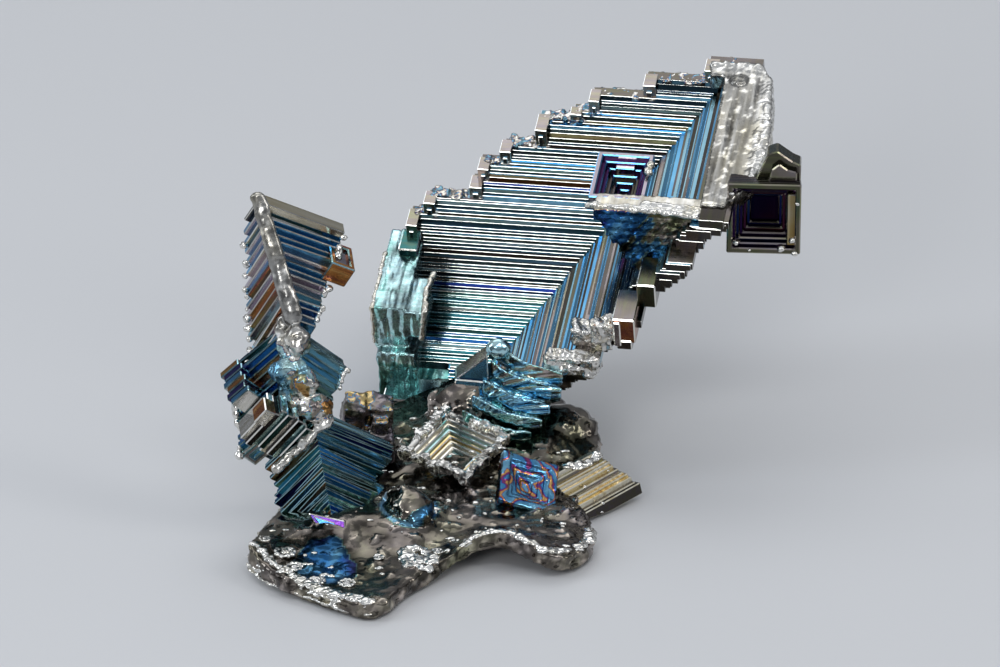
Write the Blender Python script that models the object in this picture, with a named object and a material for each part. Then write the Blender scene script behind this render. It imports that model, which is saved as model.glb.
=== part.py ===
"""A bismuth hopper crystal, grown as one piece: a leaning blade of terraces, a tower of upturned
steps, small open hoppers, and the crust of once molten metal that they stand on.
Lengths are in metres, +Z is up, +Y goes away from the front, and the crust stands on Z = 0."""

import math

import bmesh
import bpy
from mathutils import Matrix, Vector

MM = 0.001
CRYSTAL_NAME = "bismuth_crystal"

# The leaning blade: terraces that climb to the right, to the back and upwards from its heart.
BLADE_RIGHT = (0.983, -0.180, 0.008)
BLADE_BACK = (0.169, 0.935, 0.311)
BLADE_HEART = (0.0, 16.0, 6.4)
BLADE_STEP = 0.57
BLADE_WALL = 2.1
BLADE_LOWEST, BLADE_HIGHEST = -9, 30
RAGGED_ENDS = 0.16
# Each pair is the last terrace of a group and where the group's bars end, in mm from the heart.
LEFT_ENDS = (
    (-4, -5.5), (9, -8.9), (12, -9.8), (14, -8.5), (16, -4.6), (18, -4.0),
    (20, -2.2), (23, 0.8), (24, 3.6), (26, 5.2), (28, 9.8), (30, 15.0),
)
NEAR_ENDS = (
    (-4, -5.0), (3, -6.4), (6, -7.6), (9, -9.0), (12, -9.6), (14, -7.4), (18, -7.6),
    (20, -5.0), (25, -4.8), (30, -2.4),
)

# The tower: each tier is its lowest corner, the run of its right bars and of its front bars.
TOP_TIER = ((-18.2, -7.0, 19.4), (0.864, 0.224, -0.451), (0.491, -0.173, 0.854))
MIDDLE_TIER = ((-18.4, -8.8, 12.0), (0.701, 0.262, -0.664), (0.704, -0.107, 0.702))
BOTTOM_TIER = ((-15.2, -11.4, 3.6), (0.790, 0.290, -0.541), (0.602, -0.190, 0.776))

# The small hoppers: centre of the mouth, first side and second side.
SILVER_HOPPER = ((-5.0, -0.6, 4.7), (0.836, -0.528, -0.145), (0.548, 0.805, 0.222))
DISH_HOPPER = ((1.2, -5.8, 3.6), (0.924, 0.120, -0.364), (0.086, 0.860, 0.503))
CUBE_HOPPER = ((21.0, 7.0, 21.2), (0.998, -0.060, 0.000), (0.020, 0.067, 0.998))
RIGHT_CLUSTER = ((6.4, -2.6, 1.6), (0.742, 0.658, 0.130), (-0.640, 0.745, -0.190))
BACK_PLATE = ((-10.6, 2.6, 4.6), (0.990, 0.060, -0.120), (-0.040, 0.970, 0.240))

# The crust: its outline on the ground, the heaps on it and the hollows under its edge.
CRUST_CENTRE = (-6.0, -1.0)
CRUST_RINGS = (1.0, 0.93, 0.72, 0.48, 0.24)
CRUST_THICKNESS = 1.5
CRUST_OUTLINE = (
    (-11.9, -24.0), (-10.2, -22.6), (-9.0, -20.2), (-6.6, -17.6), (-3.8, -15.6), (-1.6, -14.6),
    (0.6, -15.2), (2.9, -16.3), (5.2, -15.0), (6.6, -12.2), (6.0, -9.0), (5.4, -5.0),
    (6.6, 0.5), (7.2, 5.0), (6.0, 10.0), (2.4, 15.0), (-2.6, 18.6), (-8.0, 19.0),
    (-12.5, 15.0), (-14.5, 9.0), (-16.0, 3.0), (-18.0, -2.5), (-19.6, -8.0), (-21.2, -12.6),
    (-22.0, -15.8), (-20.2, -18.4), (-17.0, -20.8), (-14.6, -22.6),
)
# Each heap or hollow: place, spread and height.
CRUST_HEAPS = (
    ((-15.5, -10.0), 3.6, 2.2), ((-4.5, 2.0), 5.5, 1.6), ((-3.5, 12.0), 5.5, 1.6),
    ((3.0, 4.5), 3.4, 2.4), ((-8.6, -9.0), 2.4, 1.3), ((0.5, -8.0), 3.6, 0.6),
)
CRUST_HOLLOWS = (((-1.4, -15.6), 2.8, 2.0), ((-22.0, -14.0), 2.8, 1.3), ((7.2, -7.0), 2.0, 0.8))
# Rounded lumps of melt: centre, radii and turn about the upright in degrees.
MELT_LUMPS = (
    ((-8.8, -9.2, 3.2), (2.3, 2.6, 2.2), 25),
    ((-12.6, -12.6, 1.9), (3.0, 2.4, 2.0), -20),
    ((-18.2, -7.9, 17.4), (1.3, 1.2, 2.2), 0),
    ((-17.7, -8.4, 13.9), (1.5, 1.6, 2.8), 0),
    ((-16.9, -8.6, 10.9), (2.0, 1.9, 2.2), 0),
    ((3.8, 5.2, 3.0), (3.4, 3.0, 2.4), 15),
    ((-3.2, 8.6, 3.4), (4.4, 3.4, 3.2), 0),
)
# The folded fan in front of the blade's corner: its hinge, and each leaf's length from the top.
FAN_HINGE = (-2.4, 5.6, 2.6)
FAN_LEAVES = (8.2, 7.6, 7.2, 7.2, 7.6, 8.4, 7.4)
FAN_FIRST, FAN_TURN = 92.0, 10.5


def tilted(degrees, axis):
    return Matrix.Rotation(math.radians(degrees), 4, axis)


def axes_at(origin, right, other):
    """A crystal's own axes as a matrix: X along right, Z square to right and other."""
    x = Vector(right).normalized()
    z = x.cross(Vector(other)).normalized()
    turn = Matrix((x, z.cross(x), z)).transposed().to_4x4()
    return Matrix.Translation(Vector(origin)) @ turn


def add_box(mesh, axes, low, high):
    """A box between two corners, in millimetres along the crystal's axes."""
    low, high = Vector(low), Vector(high)
    size = Matrix.Diagonal(high - low).to_4x4()
    bmesh.ops.create_cube(mesh, size=1.0, matrix=axes @ Matrix.Translation((low + high) / 2) @ size)


def add_slab(mesh, axes, outline, low, high):
    """A flat outline, in the plane of the crystal's X and Y, drawn up from low to high."""
    corners = [mesh.verts.new(axes @ Vector((x, y, low))) for x, y in outline]
    face = mesh.faces.new(corners)
    drawn = bmesh.ops.extrude_face_region(mesh, geom=[face])["geom"]
    rise = axes.to_3x3() @ Vector((0, 0, high - low))
    moved = [part for part in drawn if isinstance(part, bmesh.types.BMVert)]
    bmesh.ops.translate(mesh, verts=moved, vec=rise)


def end_of(groups, level):
    """Where the bars of a terrace end, from the pairs of last terrace and end. No two terraces
    of a group end in quite the same plane."""
    return next(end for last, end in groups if level <= last) + ragged(level)


def ragged(level):
    return RAGGED_ENDS * math.sin(2.4 * level)


def add_blade(mesh):
    """Terraces: at each level one bar runs left from the corner and one towards the front."""
    axes = axes_at(BLADE_HEART, BLADE_RIGHT, BLADE_BACK)
    for level in range(BLADE_LOWEST, BLADE_HIGHEST + 1):
        corner = level * BLADE_STEP
        low, high, outer = corner - 0.8 * BLADE_STEP, corner + BLADE_STEP, corner + BLADE_WALL
        left, near = end_of(LEFT_ENDS, level), end_of(NEAR_ENDS, level)
        outline = (
            (left, corner), (corner, corner), (corner, near), (outer, near), (outer, outer),
            (left, outer),
        )
        add_slab(mesh, axes, outline, low, high)


def add_blade_rims(mesh):
    """The broad rim at the top right, the column at the left end and the blocks under it."""
    axes = axes_at(BLADE_HEART, BLADE_RIGHT, BLADE_BACK)
    add_box(mesh, axes, (17.2, -0.8, 16.3), (20.9, 16.9, 18.0))
    add_box(mesh, axes, (16.4, 15.2, 16.4), (20.1, 18.4, 17.9))
    add_box(mesh, axes, (-11.7, -3.1, 1.2), (-8.4, 7.0, 5.8))
    add_box(mesh, axes, (-11.3, -4.2, -3.6), (-7.8, 5.0, 1.4))
    add_box(mesh, axes, (-10.6, -5.2, -6.6), (-5.2, 1.6, -3.4))
    add_box(mesh, axes, (-6.0, -6.2, -6.4), (0.5, -1.0, -4.4))


def add_flank_blocks(mesh):
    """Short blocks where the bars of the right flank end."""
    axes = axes_at(BLADE_HEART, BLADE_RIGHT, BLADE_BACK)
    add_box(mesh, axes, (10.6, -9.4, 9.6), (12.5, -5.6, 12.2))
    add_box(mesh, axes, (12.3, -6.6, 11.2), (13.9, -3.0, 13.7))


def add_square_ring(mesh, axes, low, high, wall):
    """A square ring with an open middle, between two corners: a loft around four outlines."""
    (left, near, bottom), (right, far, top) = low, high

    def outline(inset, z):
        corners = (
            (left + inset, near + inset), (right - inset, near + inset),
            (right - inset, far - inset), (left + inset, far - inset),
        )
        return [mesh.verts.new(axes @ Vector((x, y, z))) for x, y in corners]

    loops = [outline(0, bottom), outline(0, top), outline(wall, top), outline(wall, bottom)]
    for one, other in zip(loops, loops[1:] + loops[:1]):
        for i in range(4):
            j = (i + 1) % 4
            mesh.faces.new((one[i], one[j], other[j], other[i]))


def add_flank_hopper(mesh):
    """The open box on the right flank, and the wall that tapers down from its front rim."""
    axes = axes_at(BLADE_HEART, BLADE_RIGHT, BLADE_BACK)
    for level in range(4):
        grow, top = 0.5 * level, 15.6 + 0.65 * level
        low, high = (9.9 - grow, -1.4 - grow, top - 0.9), (12.2 + grow, 1.7 + grow, top)
        add_square_ring(mesh, axes, low, high, 0.9)
    add_box(mesh, axes, (10.2, -1.1, 11.6), (12.0, 1.4, 15.0))
    for level in range(6):
        low, left, right = 16.4 - 0.9 * level, 8.3 + 0.85 * level, 18.9 - 0.40 * level
        near = -3.0 - 0.28 * level
        add_box(mesh, axes, (left, near, low - 0.2), (right, near + 2.3, low + 1.2))


def add_upturned_steps(mesh, tier, levels, step, wall, right_end, reaches):
    """Steps that overhang as they rise: at each level one bar runs right and one to the front.
    reaches gives the length of the front bars at the bottom and at the top."""
    axes = axes_at(*tier)
    for level in range(levels):
        corner = level * step
        low, high = -corner - step, -corner + 0.8 * step
        share = level / (levels - 1)
        reach = reaches[0] * (1 - share) + reaches[1] * share
        right, near = right_end + ragged(level), corner - reach + ragged(level + 1)
        outline = (
            (-corner, corner), (-corner, near), (wall - corner, near),
            (wall - corner, corner - wall), (right, corner - wall), (right, corner),
        )
        add_slab(mesh, axes, outline, low, high)


def add_tower(mesh):
    add_upturned_steps(mesh, TOP_TIER, 12, 0.52, 1.6, 2.0, (7.4, 2.8))
    add_upturned_steps(mesh, MIDDLE_TIER, 8, 0.55, 1.9, 3.4, (6.4, 6.0))
    add_upturned_steps(mesh, BOTTOM_TIER, 9, 0.60, 2.7, 3.4, (5.6, 6.6))


def add_tower_blocks(mesh):
    """What clings to the tower: the block at its right and the plate at its left."""
    top, middle = axes_at(*TOP_TIER), axes_at(*MIDDLE_TIER)
    add_box(mesh, top, (1.4, 0.2, -5.6), (3.9, 2.4, -2.6))
    add_box(mesh, middle, (-4.6, -3.6, -4.4), (-2.0, -1.8, -0.6))
    add_box(mesh, middle, (0.6, -1.2, -3.6), (4.2, 1.0, -0.4))


def add_open_hopper(mesh, place, levels, step, mouth, wall):
    """Square rings that widen towards the mouth, over a floor."""
    axes = axes_at(*place)
    for level in range(levels):
        outer, top = mouth / 2 - step * level, -step * level
        add_square_ring(mesh, axes, (-outer, -outer, top - 1.6 * step), (outer, outer, top), wall)
    floor, top = mouth / 2 - step * levels + 0.2, -step * levels
    add_box(mesh, axes, (-floor, -floor, top - 1.2), (floor, floor, top))


def add_cube_hopper(mesh):
    """The dark cube at the far right, hollow towards the front, and the stub that carries it."""
    axes = axes_at(*CUBE_HOPPER)
    for level in range(3):
        outer, top = 3.1 - 0.05 * level, 0.0 - 1.1 * level
        wall = 0.8 + 0.55 * level
        add_square_ring(mesh, axes, (-outer, -outer, top - 1.3), (outer, outer, top), wall)
    add_box(mesh, axes, (-2.9, -2.9, -4.6), (2.9, 2.9, -3.2))
    add_box(mesh, axes, (-4.6, 0.2, -4.8), (1.2, 4.4, -1.4))


def add_right_cluster(mesh):
    """The low ridged block at the right of the crust."""
    axes = axes_at(*RIGHT_CLUSTER)
    for level in range(4):
        left, right, near = -2.6 - 0.2 * level, 3.6 - 0.5 * level, -1.9 + 0.75 * level
        add_box(mesh, axes, (left, near, -1.9), (right, near + 1.6, 0.3 + 0.55 * level))


def add_back_plate(mesh):
    """The plate that stands between the tower and the blade."""
    axes = axes_at(*BACK_PLATE)
    add_box(mesh, axes, (-3.6, -3.0, -1.4), (3.4, 1.2, 0.0))
    add_box(mesh, axes, (-2.6, 0.2, -3.4), (3.0, 2.6, 1.9))


def add_fan(mesh):
    """Leaves of metal fanned out about a hinge in front of the blade's corner."""
    for leaf, length in enumerate(FAN_LEAVES):
        axes = Matrix.Translation(Vector(FAN_HINGE)) @ tilted(FAN_TURN * leaf - FAN_FIRST, "Y")
        near = -0.6 - 0.3 * leaf
        add_box(mesh, axes, (-1.4, near, -1.1), (length, near + 3.2, 0.9))


def add_melt_lumps(mesh):
    for centre, radii, turn in MELT_LUMPS:
        place = Matrix.Translation(Vector(centre)) @ tilted(turn, "Z")
        size = Matrix.Diagonal(Vector(radii)).to_4x4()
        bmesh.ops.create_uvsphere(
            mesh, u_segments=12, v_segments=7, radius=1.0, matrix=place @ size
        )


def mound(x, y, places):
    """The height at one point of all the smooth mounds in a list."""
    return sum(
        height * math.exp(-((x - place[0]) ** 2 + (y - place[1]) ** 2) / (2 * spread**2))
        for place, spread, height in places
    )


def add_crust(mesh):
    """Rings of points shrink from the outline to the centre, over the top and under the base."""
    centre = Vector(CRUST_CENTRE)

    def ring(share, under):
        points = []
        for corner in CRUST_OUTLINE:
            x, y = centre.lerp(Vector(corner), share)
            lift = mound(x, y, CRUST_HOLLOWS)
            lift = lift if lift > 0.05 else 0.0
            z = lift if under else max(lift, mound(x, y, CRUST_HEAPS)) + CRUST_THICKNESS
            points.append(mesh.verts.new((x, y, z)))
        return points

    top = [ring(share, False) for share in CRUST_RINGS]
    base = [ring(share, True) for share in CRUST_RINGS]
    rings = top[::-1] + base
    for inner, outer in zip(rings, rings[1:]):
        for i in range(len(inner)):
            j = (i + 1) % len(inner)
            mesh.faces.new((inner[i], outer[i], outer[j], inner[j]))
    mesh.faces.new(top[-1])
    mesh.faces.new(base[-1][::-1])


def clip_below_ground(mesh):
    """What would reach below the ground is cut off flat there."""
    bmesh.ops.bisect_plane(
        mesh, geom=mesh.verts[:] + mesh.edges[:] + mesh.faces[:],
        plane_co=(0, 0, 0.02), plane_no=(0, 0, 1), clear_inner=True,
    )
    bmesh.ops.holes_fill(mesh, edges=[edge for edge in mesh.edges if edge.is_boundary])


def new_object(name, adders, collection, clip=False):
    """An object in metres from shapes that are added in millimetres."""
    mesh = bmesh.new()
    for add in adders:
        add(mesh)
    if clip:
        clip_below_ground(mesh)
    bmesh.ops.recalc_face_normals(mesh, faces=mesh.faces)
    bmesh.ops.scale(mesh, vec=(MM, MM, MM), verts=mesh.verts)
    data = bpy.data.meshes.new(name)
    mesh.to_mesh(data)
    mesh.free()
    made = bpy.data.objects.new(name, data)
    collection.objects.link(made)
    return made


def new_collection(name):
    made = bpy.data.collections.new(name)
    bpy.context.scene.collection.children.link(made)
    return made


def bismuth_material():
    """Metal under a thin film of oxide, which gives it a steel blue colour."""
    made = bpy.data.materials.new("oxidised_bismuth")
    made.use_nodes = True
    shader = made.node_tree.nodes["Principled BSDF"]
    shader.inputs["Base Color"].default_value = (0.20, 0.38, 0.50, 1.0)
    shader.inputs["Metallic"].default_value = 1.0
    shader.inputs["Roughness"].default_value = 0.22
    return made


def centre_over_ground(parts):
    """Moves all the parts together, so that the origin is under the middle of their box."""
    points = [vertex.co for part in parts for vertex in part.data.vertices]
    low = Vector(min(point[i] for point in points) for i in range(3))
    high = Vector(max(point[i] for point in points) for i in range(3))
    for part in parts:
        part.location = (-(low.x + high.x) / 2, -(low.y + high.y) / 2, 0.0)


def join_growths(crystal, growths):
    """Everything that grew on the crust becomes one solid with it."""
    join = crystal.modifiers.new("grown together", "BOOLEAN")
    join.operation = "UNION"
    join.operand_type = "COLLECTION"
    join.collection = growths
    join.use_self = True


def main():
    for thing in list(bpy.data.objects):
        bpy.data.objects.remove(thing)
    crystal_parts = new_collection("bismuth hopper crystal")
    growths = new_collection("growths to join")
    crystal = new_object(CRYSTAL_NAME, (add_crust,), crystal_parts)
    crystal.data.materials.append(bismuth_material())
    growth_parts = {
        "blade": (add_blade, add_blade_rims, add_flank_blocks, add_flank_hopper),
        "tower": (add_tower, add_tower_blocks),
        "small_hoppers": (
            lambda mesh: add_open_hopper(mesh, SILVER_HOPPER, 5, 0.5, 6.6, 0.95),
            lambda mesh: add_open_hopper(mesh, DISH_HOPPER, 3, 0.5, 4.9, 1.0),
            add_cube_hopper,
        ),
        "clusters": (add_right_cluster, add_back_plate, add_fan),
        "melt": (add_melt_lumps,),
    }
    for name, adders in growth_parts.items():
        growth = new_object(name, adders, growths, clip=True)
        growth.hide_render = True
        growth.display_type = "WIRE"
    centre_over_ground([crystal, *growths.objects])
    join_growths(crystal, growths)


main()
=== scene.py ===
# %% [markdown]
# # A bismuth hopper crystal
# Bismuth is melted in a pan and left to cool. While it sets, crystals grow in it, and what is
# still liquid is poured away. The edges of a crystal grow faster than its faces, so every face
# turns into a flight of square steps: a hopper. In the air the hot metal takes on a film of
# oxide, so thin that light interferes in it, and each thickness of film shows its own colour.
# This lesson builds one cluster of such crystals, piece by piece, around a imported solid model.

# %% Load the solid model that every piece is fitted to
import math
import random

import bmesh
import bpy
from mathutils import Matrix, Vector, noise
from mathutils.bvhtree import BVHTree


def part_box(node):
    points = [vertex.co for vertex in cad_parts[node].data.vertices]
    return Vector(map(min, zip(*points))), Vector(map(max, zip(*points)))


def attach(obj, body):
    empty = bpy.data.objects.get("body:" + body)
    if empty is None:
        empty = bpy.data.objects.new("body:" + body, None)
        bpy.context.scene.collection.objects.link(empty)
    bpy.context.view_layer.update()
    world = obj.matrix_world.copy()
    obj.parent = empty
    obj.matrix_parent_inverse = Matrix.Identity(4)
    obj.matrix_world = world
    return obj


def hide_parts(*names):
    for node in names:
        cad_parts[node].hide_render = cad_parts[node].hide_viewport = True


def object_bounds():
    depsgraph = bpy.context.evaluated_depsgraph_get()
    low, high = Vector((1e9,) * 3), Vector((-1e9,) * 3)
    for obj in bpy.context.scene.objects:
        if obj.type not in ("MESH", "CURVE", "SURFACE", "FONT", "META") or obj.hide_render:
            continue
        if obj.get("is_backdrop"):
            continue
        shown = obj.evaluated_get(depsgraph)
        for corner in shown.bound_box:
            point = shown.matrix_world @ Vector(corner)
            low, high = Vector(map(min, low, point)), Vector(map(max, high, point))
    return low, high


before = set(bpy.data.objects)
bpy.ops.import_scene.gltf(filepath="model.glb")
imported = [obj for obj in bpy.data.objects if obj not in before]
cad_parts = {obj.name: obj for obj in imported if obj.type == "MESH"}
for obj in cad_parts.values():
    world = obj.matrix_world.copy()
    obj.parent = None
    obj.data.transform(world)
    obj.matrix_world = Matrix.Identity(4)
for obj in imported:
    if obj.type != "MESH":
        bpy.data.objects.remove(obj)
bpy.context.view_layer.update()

# %% [markdown]
# ## Millimetres and the crystal's place
# A crystal five centimetres across is easier to describe in millimetres than in metres. All the
# shapes below are written in millimetres around a corner of the crystal's own plan, and are
# scaled and shifted once, when a piece is finished. The shift comes from the solid model's box.

# %% Units, and where the plan's corner lies in the model
MM = 0.001
CRYSTAL = "bismuth_crystal"
PLAN_CORNER = Vector((-24.66, -24.0, 0.0))
crystal_low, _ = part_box(CRYSTAL)
SHIFT = Vector((crystal_low.x, crystal_low.y, 0.0)) / MM - PLAN_CORNER
PLAN_TO_MODEL = Matrix.Scale(MM, 4) @ Matrix.Translation(SHIFT)
print("shift of the plan, in mm:", [round(part, 2) for part in SHIFT])

# %% [markdown]
# ## Camera
# The crystal is looked at from a little above, through a long lens. A long lens far away keeps
# parallel steps nearly parallel in the picture, so the terraces read as straight ruled lines.

# %% Camera
LOOK_AT = PLAN_TO_MODEL @ Vector((-1.25, 0.0, 14.6))
CAMERA_DISTANCE = 0.6
FOCAL_LENGTH, SENSOR_WIDTH = 259.2, 36
CAMERA_RISE = math.radians(25)
TO_CAMERA = Vector((0, -math.cos(CAMERA_RISE), math.sin(CAMERA_RISE)))
camera_data = bpy.data.cameras.new("long lens")
camera_data.lens = FOCAL_LENGTH
camera_data.sensor_width = SENSOR_WIDTH
camera_data.clip_start = 0.01
camera = bpy.data.objects.new("camera", camera_data)
camera.location = LOOK_AT + TO_CAMERA * CAMERA_DISTANCE
camera.rotation_euler = (-TO_CAMERA).to_track_quat("-Z", "Y").to_euler()
bpy.context.scene.collection.objects.link(camera)
bpy.context.scene.camera = camera
print("camera at", [round(part, 3) for part in camera.location])

# %% [markdown]
# ## Floor and light
# Metal shows nothing but what it mirrors, so the lights are part of its finish. A step of a
# hopper is a corner mirror: light that falls on a tread bounces off the riser behind it and
# comes back the way it came. So a small bright box beside the lens is what makes the terraces
# flash, a broad soft one overhead gives the flat treads a sheen, and the dim room between them
# keeps the rest dark. The floor is plain and pale, and belongs to the studio.

# %% Floor
FLOOR_HALF = 3.0
FLOOR_DROP = 0.0002
floor_data = bpy.data.meshes.new("floor")
floor_mesh = bmesh.new()
bmesh.ops.create_grid(floor_mesh, x_segments=1, y_segments=1, size=FLOOR_HALF)
floor_mesh.to_mesh(floor_data)
floor_mesh.free()
floor = bpy.data.objects.new("floor", floor_data)
floor.location.z = -FLOOR_DROP
bpy.context.scene.collection.objects.link(floor)
floor_paint = bpy.data.materials.new("pale floor")
floor_paint.use_nodes = True
floor_shader = floor_paint.node_tree.nodes["Principled BSDF"]
floor_shader.inputs["Base Color"].default_value = (0.62, 0.63, 0.65, 1)
floor_shader.inputs["Roughness"].default_value = 0.45
floor_data.materials.append(floor_paint)
floor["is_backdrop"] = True
print("floor", 2 * FLOOR_HALF, "m across")


# %% Soft boxes
def soft_box(name, direction, distance, size, radiance, colour=(1, 1, 1)):
    """An area light that hangs in a direction from the crystal and faces it."""
    light = bpy.data.lights.new(name, "AREA")
    light.shape = "RECTANGLE"
    light.size, light.size_y = size
    light.energy = radiance * math.pi * size[0] * size[1]
    light.color = colour
    box = bpy.data.objects.new(name, light)
    direction = Vector(direction).normalized()
    box.location = LOOK_AT + direction * distance
    box.rotation_euler = direction.to_track_quat("Z", "Y").to_euler()
    bpy.context.scene.collection.objects.link(box)
    print(name, "at", [round(part, 2) for part in box.location], round(light.energy, 2), "W")


soft_box("box overhead", (-0.10, 0.52, 0.86), 0.45, (0.36, 0.22), 1.2)
soft_box("box beside the lens", (-0.326, -0.834, 0.444), 0.60, (0.16, 0.15), 9.0)
soft_box("box at the left", (-0.90, -0.10, 0.45), 0.50, (0.12, 0.30), 4.5, (0.90, 0.95, 1.0))
soft_box("box at the right", (0.85, -0.35, 0.60), 0.55, (0.12, 0.30), 4.0, (1.0, 0.97, 0.93))
soft_box("box above the lens", (0.10, -0.55, 0.83), 0.55, (0.30, 0.08), 5.0)
soft_box("low box behind", (-0.53, 0.84, 0.10), 0.60, (0.20, 0.10), 2.5, (0.85, 0.93, 1.0))

# %% The dim room: brighter overhead, dark towards the walls
world = bpy.data.worlds.new("dim room")
world.use_nodes = True
sky = world.node_tree
height = sky.nodes.new("ShaderNodeSeparateXYZ")
sky.links.new(sky.nodes.new("ShaderNodeTexCoord").outputs["Generated"], height.inputs[0])
glow = sky.nodes.new("ShaderNodeMapRange")
sky.links.new(height.outputs["Z"], glow.inputs["Value"])
glow.inputs["From Min"].default_value = 0.10
glow.inputs["From Max"].default_value = 0.95
glow.inputs["To Min"].default_value = 0.18
glow.inputs["To Max"].default_value = 0.70
sky.nodes["Background"].inputs["Color"].default_value = (0.90, 0.94, 1.0, 1)
sky.links.new(glow.outputs[0], sky.nodes["Background"].inputs["Strength"])
bpy.context.scene.world = world
bpy.context.scene.view_settings.view_transform = "Standard"

# %% [markdown]
# ## The oxide film
# The colours on bismuth aren't paint: a film of oxide a few hundred nanometres thick lets some
# colours cancel out. Bare metal is silver. As the film thickens it runs through straw, bronze,
# purple, deep blue, steel blue, cyan and sea green, and then through duller rounds of the same.
# A colour ramp holds that order, with the film's thickness as its input. Each face carries its
# own thickness and brightness as attributes; in places that brightness is painted light or
# shade. Two noises make the film uneven: one drifts slowly over the crystal, and one is drawn
# out into streaks along the bars.

# %% The order of the interference colours, from bare metal to a thick film
FILM_COLOURS = (
    (0.00, (0.80, 0.79, 0.76)), (0.08, (0.76, 0.70, 0.54)), (0.16, (0.64, 0.48, 0.20)),
    (0.23, (0.52, 0.22, 0.07)), (0.29, (0.30, 0.07, 0.14)), (0.35, (0.16, 0.05, 0.30)),
    (0.42, (0.03, 0.06, 0.36)), (0.50, (0.04, 0.20, 0.50)), (0.58, (0.14, 0.38, 0.60)),
    (0.66, (0.34, 0.62, 0.76)), (0.73, (0.52, 0.74, 0.76)), (0.80, (0.22, 0.50, 0.46)),
    (0.86, (0.06, 0.26, 0.26)), (0.91, (0.34, 0.36, 0.20)), (0.95, (0.42, 0.37, 0.32)),
    (1.00, (0.52, 0.47, 0.56)),
)
SILVER, CREAM, STRAW, BRONZE, WINE, PURPLE = 0.0, 0.07, 0.15, 0.23, 0.29, 0.35
DEEP_BLUE, ROYAL_BLUE, STEEL_BLUE, CYAN, PALE_CYAN = 0.42, 0.50, 0.57, 0.66, 0.73
SEA_GREEN, TEAL, OLIVE, WARM_GREY, LILAC_GREY = 0.80, 0.86, 0.91, 0.95, 1.0
print("film colours:", len(FILM_COLOURS))


# %% Small helpers for shader nodes
def node(tree, kind, **settings):
    made = tree.nodes.new(kind)
    for name, value in settings.items():
        setattr(made, name, value)
    return made


def maths(tree, operation, first, second=None, third=None):
    """A Math node: each input is a number or another node's socket."""
    made = node(tree, "ShaderNodeMath", operation=operation)
    for socket, value in zip(made.inputs, (first, second, third)):
        if isinstance(value, bpy.types.NodeSocket):
            tree.links.new(value, socket)
        elif value is not None:
            socket.default_value = value
    return made.outputs[0]


def noise_of(tree, place, scale, detail=3.0, roughness=0.55):
    made = node(tree, "ShaderNodeTexNoise")
    tree.links.new(place, made.inputs["Vector"])
    made.inputs["Scale"].default_value = scale
    made.inputs["Detail"].default_value = detail
    made.inputs["Roughness"].default_value = roughness
    return made.outputs["Fac"]


# %% [markdown]
# ### Streaks that follow the steps
# The bars of a hopper turn a corner, so a plain stretched noise would cross half of them. In a
# crystal's own axes the larger of X and Y says which step a point is on, and the smaller one
# how far along its bar it lies. A noise fed with those two, and stretched along the second,
# turns the corner with the bars.

# %% Coordinates in millimetres along a crystal's axes, and along its bars
def crystal_place(tree, axes):
    where = node(tree, "ShaderNodeTexCoord").outputs["Object"]
    turn = node(tree, "ShaderNodeMapping", vector_type="POINT")
    location, rotation, scale = (PLAN_TO_MODEL @ axes).inverted().decompose()
    turn.inputs["Location"].default_value = location
    turn.inputs["Rotation"].default_value = rotation.to_euler()
    turn.inputs["Scale"].default_value = scale
    tree.links.new(where, turn.inputs["Vector"])
    return turn.outputs[0]


def bar_place(tree, place, bars, stretch):
    """bars is corner, ring or mirrored corner: how the bars run round the crystal."""
    parts = node(tree, "ShaderNodeSeparateXYZ")
    tree.links.new(place, parts.inputs[0])
    x, y, z = parts.outputs
    if bars == "ring":
        x, y = maths(tree, "ABSOLUTE", x), maths(tree, "ABSOLUTE", y)
    if bars == "mirrored corner":
        x = maths(tree, "MULTIPLY", x, -1.0)
    across, along = maths(tree, "MAXIMUM", x, y), maths(tree, "MINIMUM", x, y)
    joined = node(tree, "ShaderNodeCombineXYZ")
    for socket, value, pull in zip(joined.inputs, (along, across, z), stretch):
        tree.links.new(maths(tree, "MULTIPLY", value, pull), socket)
    return joined.outputs[0]


# %% The finish of bismuth under its film
def film_ramp(tree, thickness):
    ramp = node(tree, "ShaderNodeValToRGB")
    for _ in range(len(FILM_COLOURS) - 2):
        ramp.color_ramp.elements.new(0.5)
    for element, (position, colour) in zip(ramp.color_ramp.elements, FILM_COLOURS):
        element.position = position
        element.color = (*colour, 1)
    tree.links.new(thickness, ramp.inputs["Fac"])
    return ramp.outputs["Color"]


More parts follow.
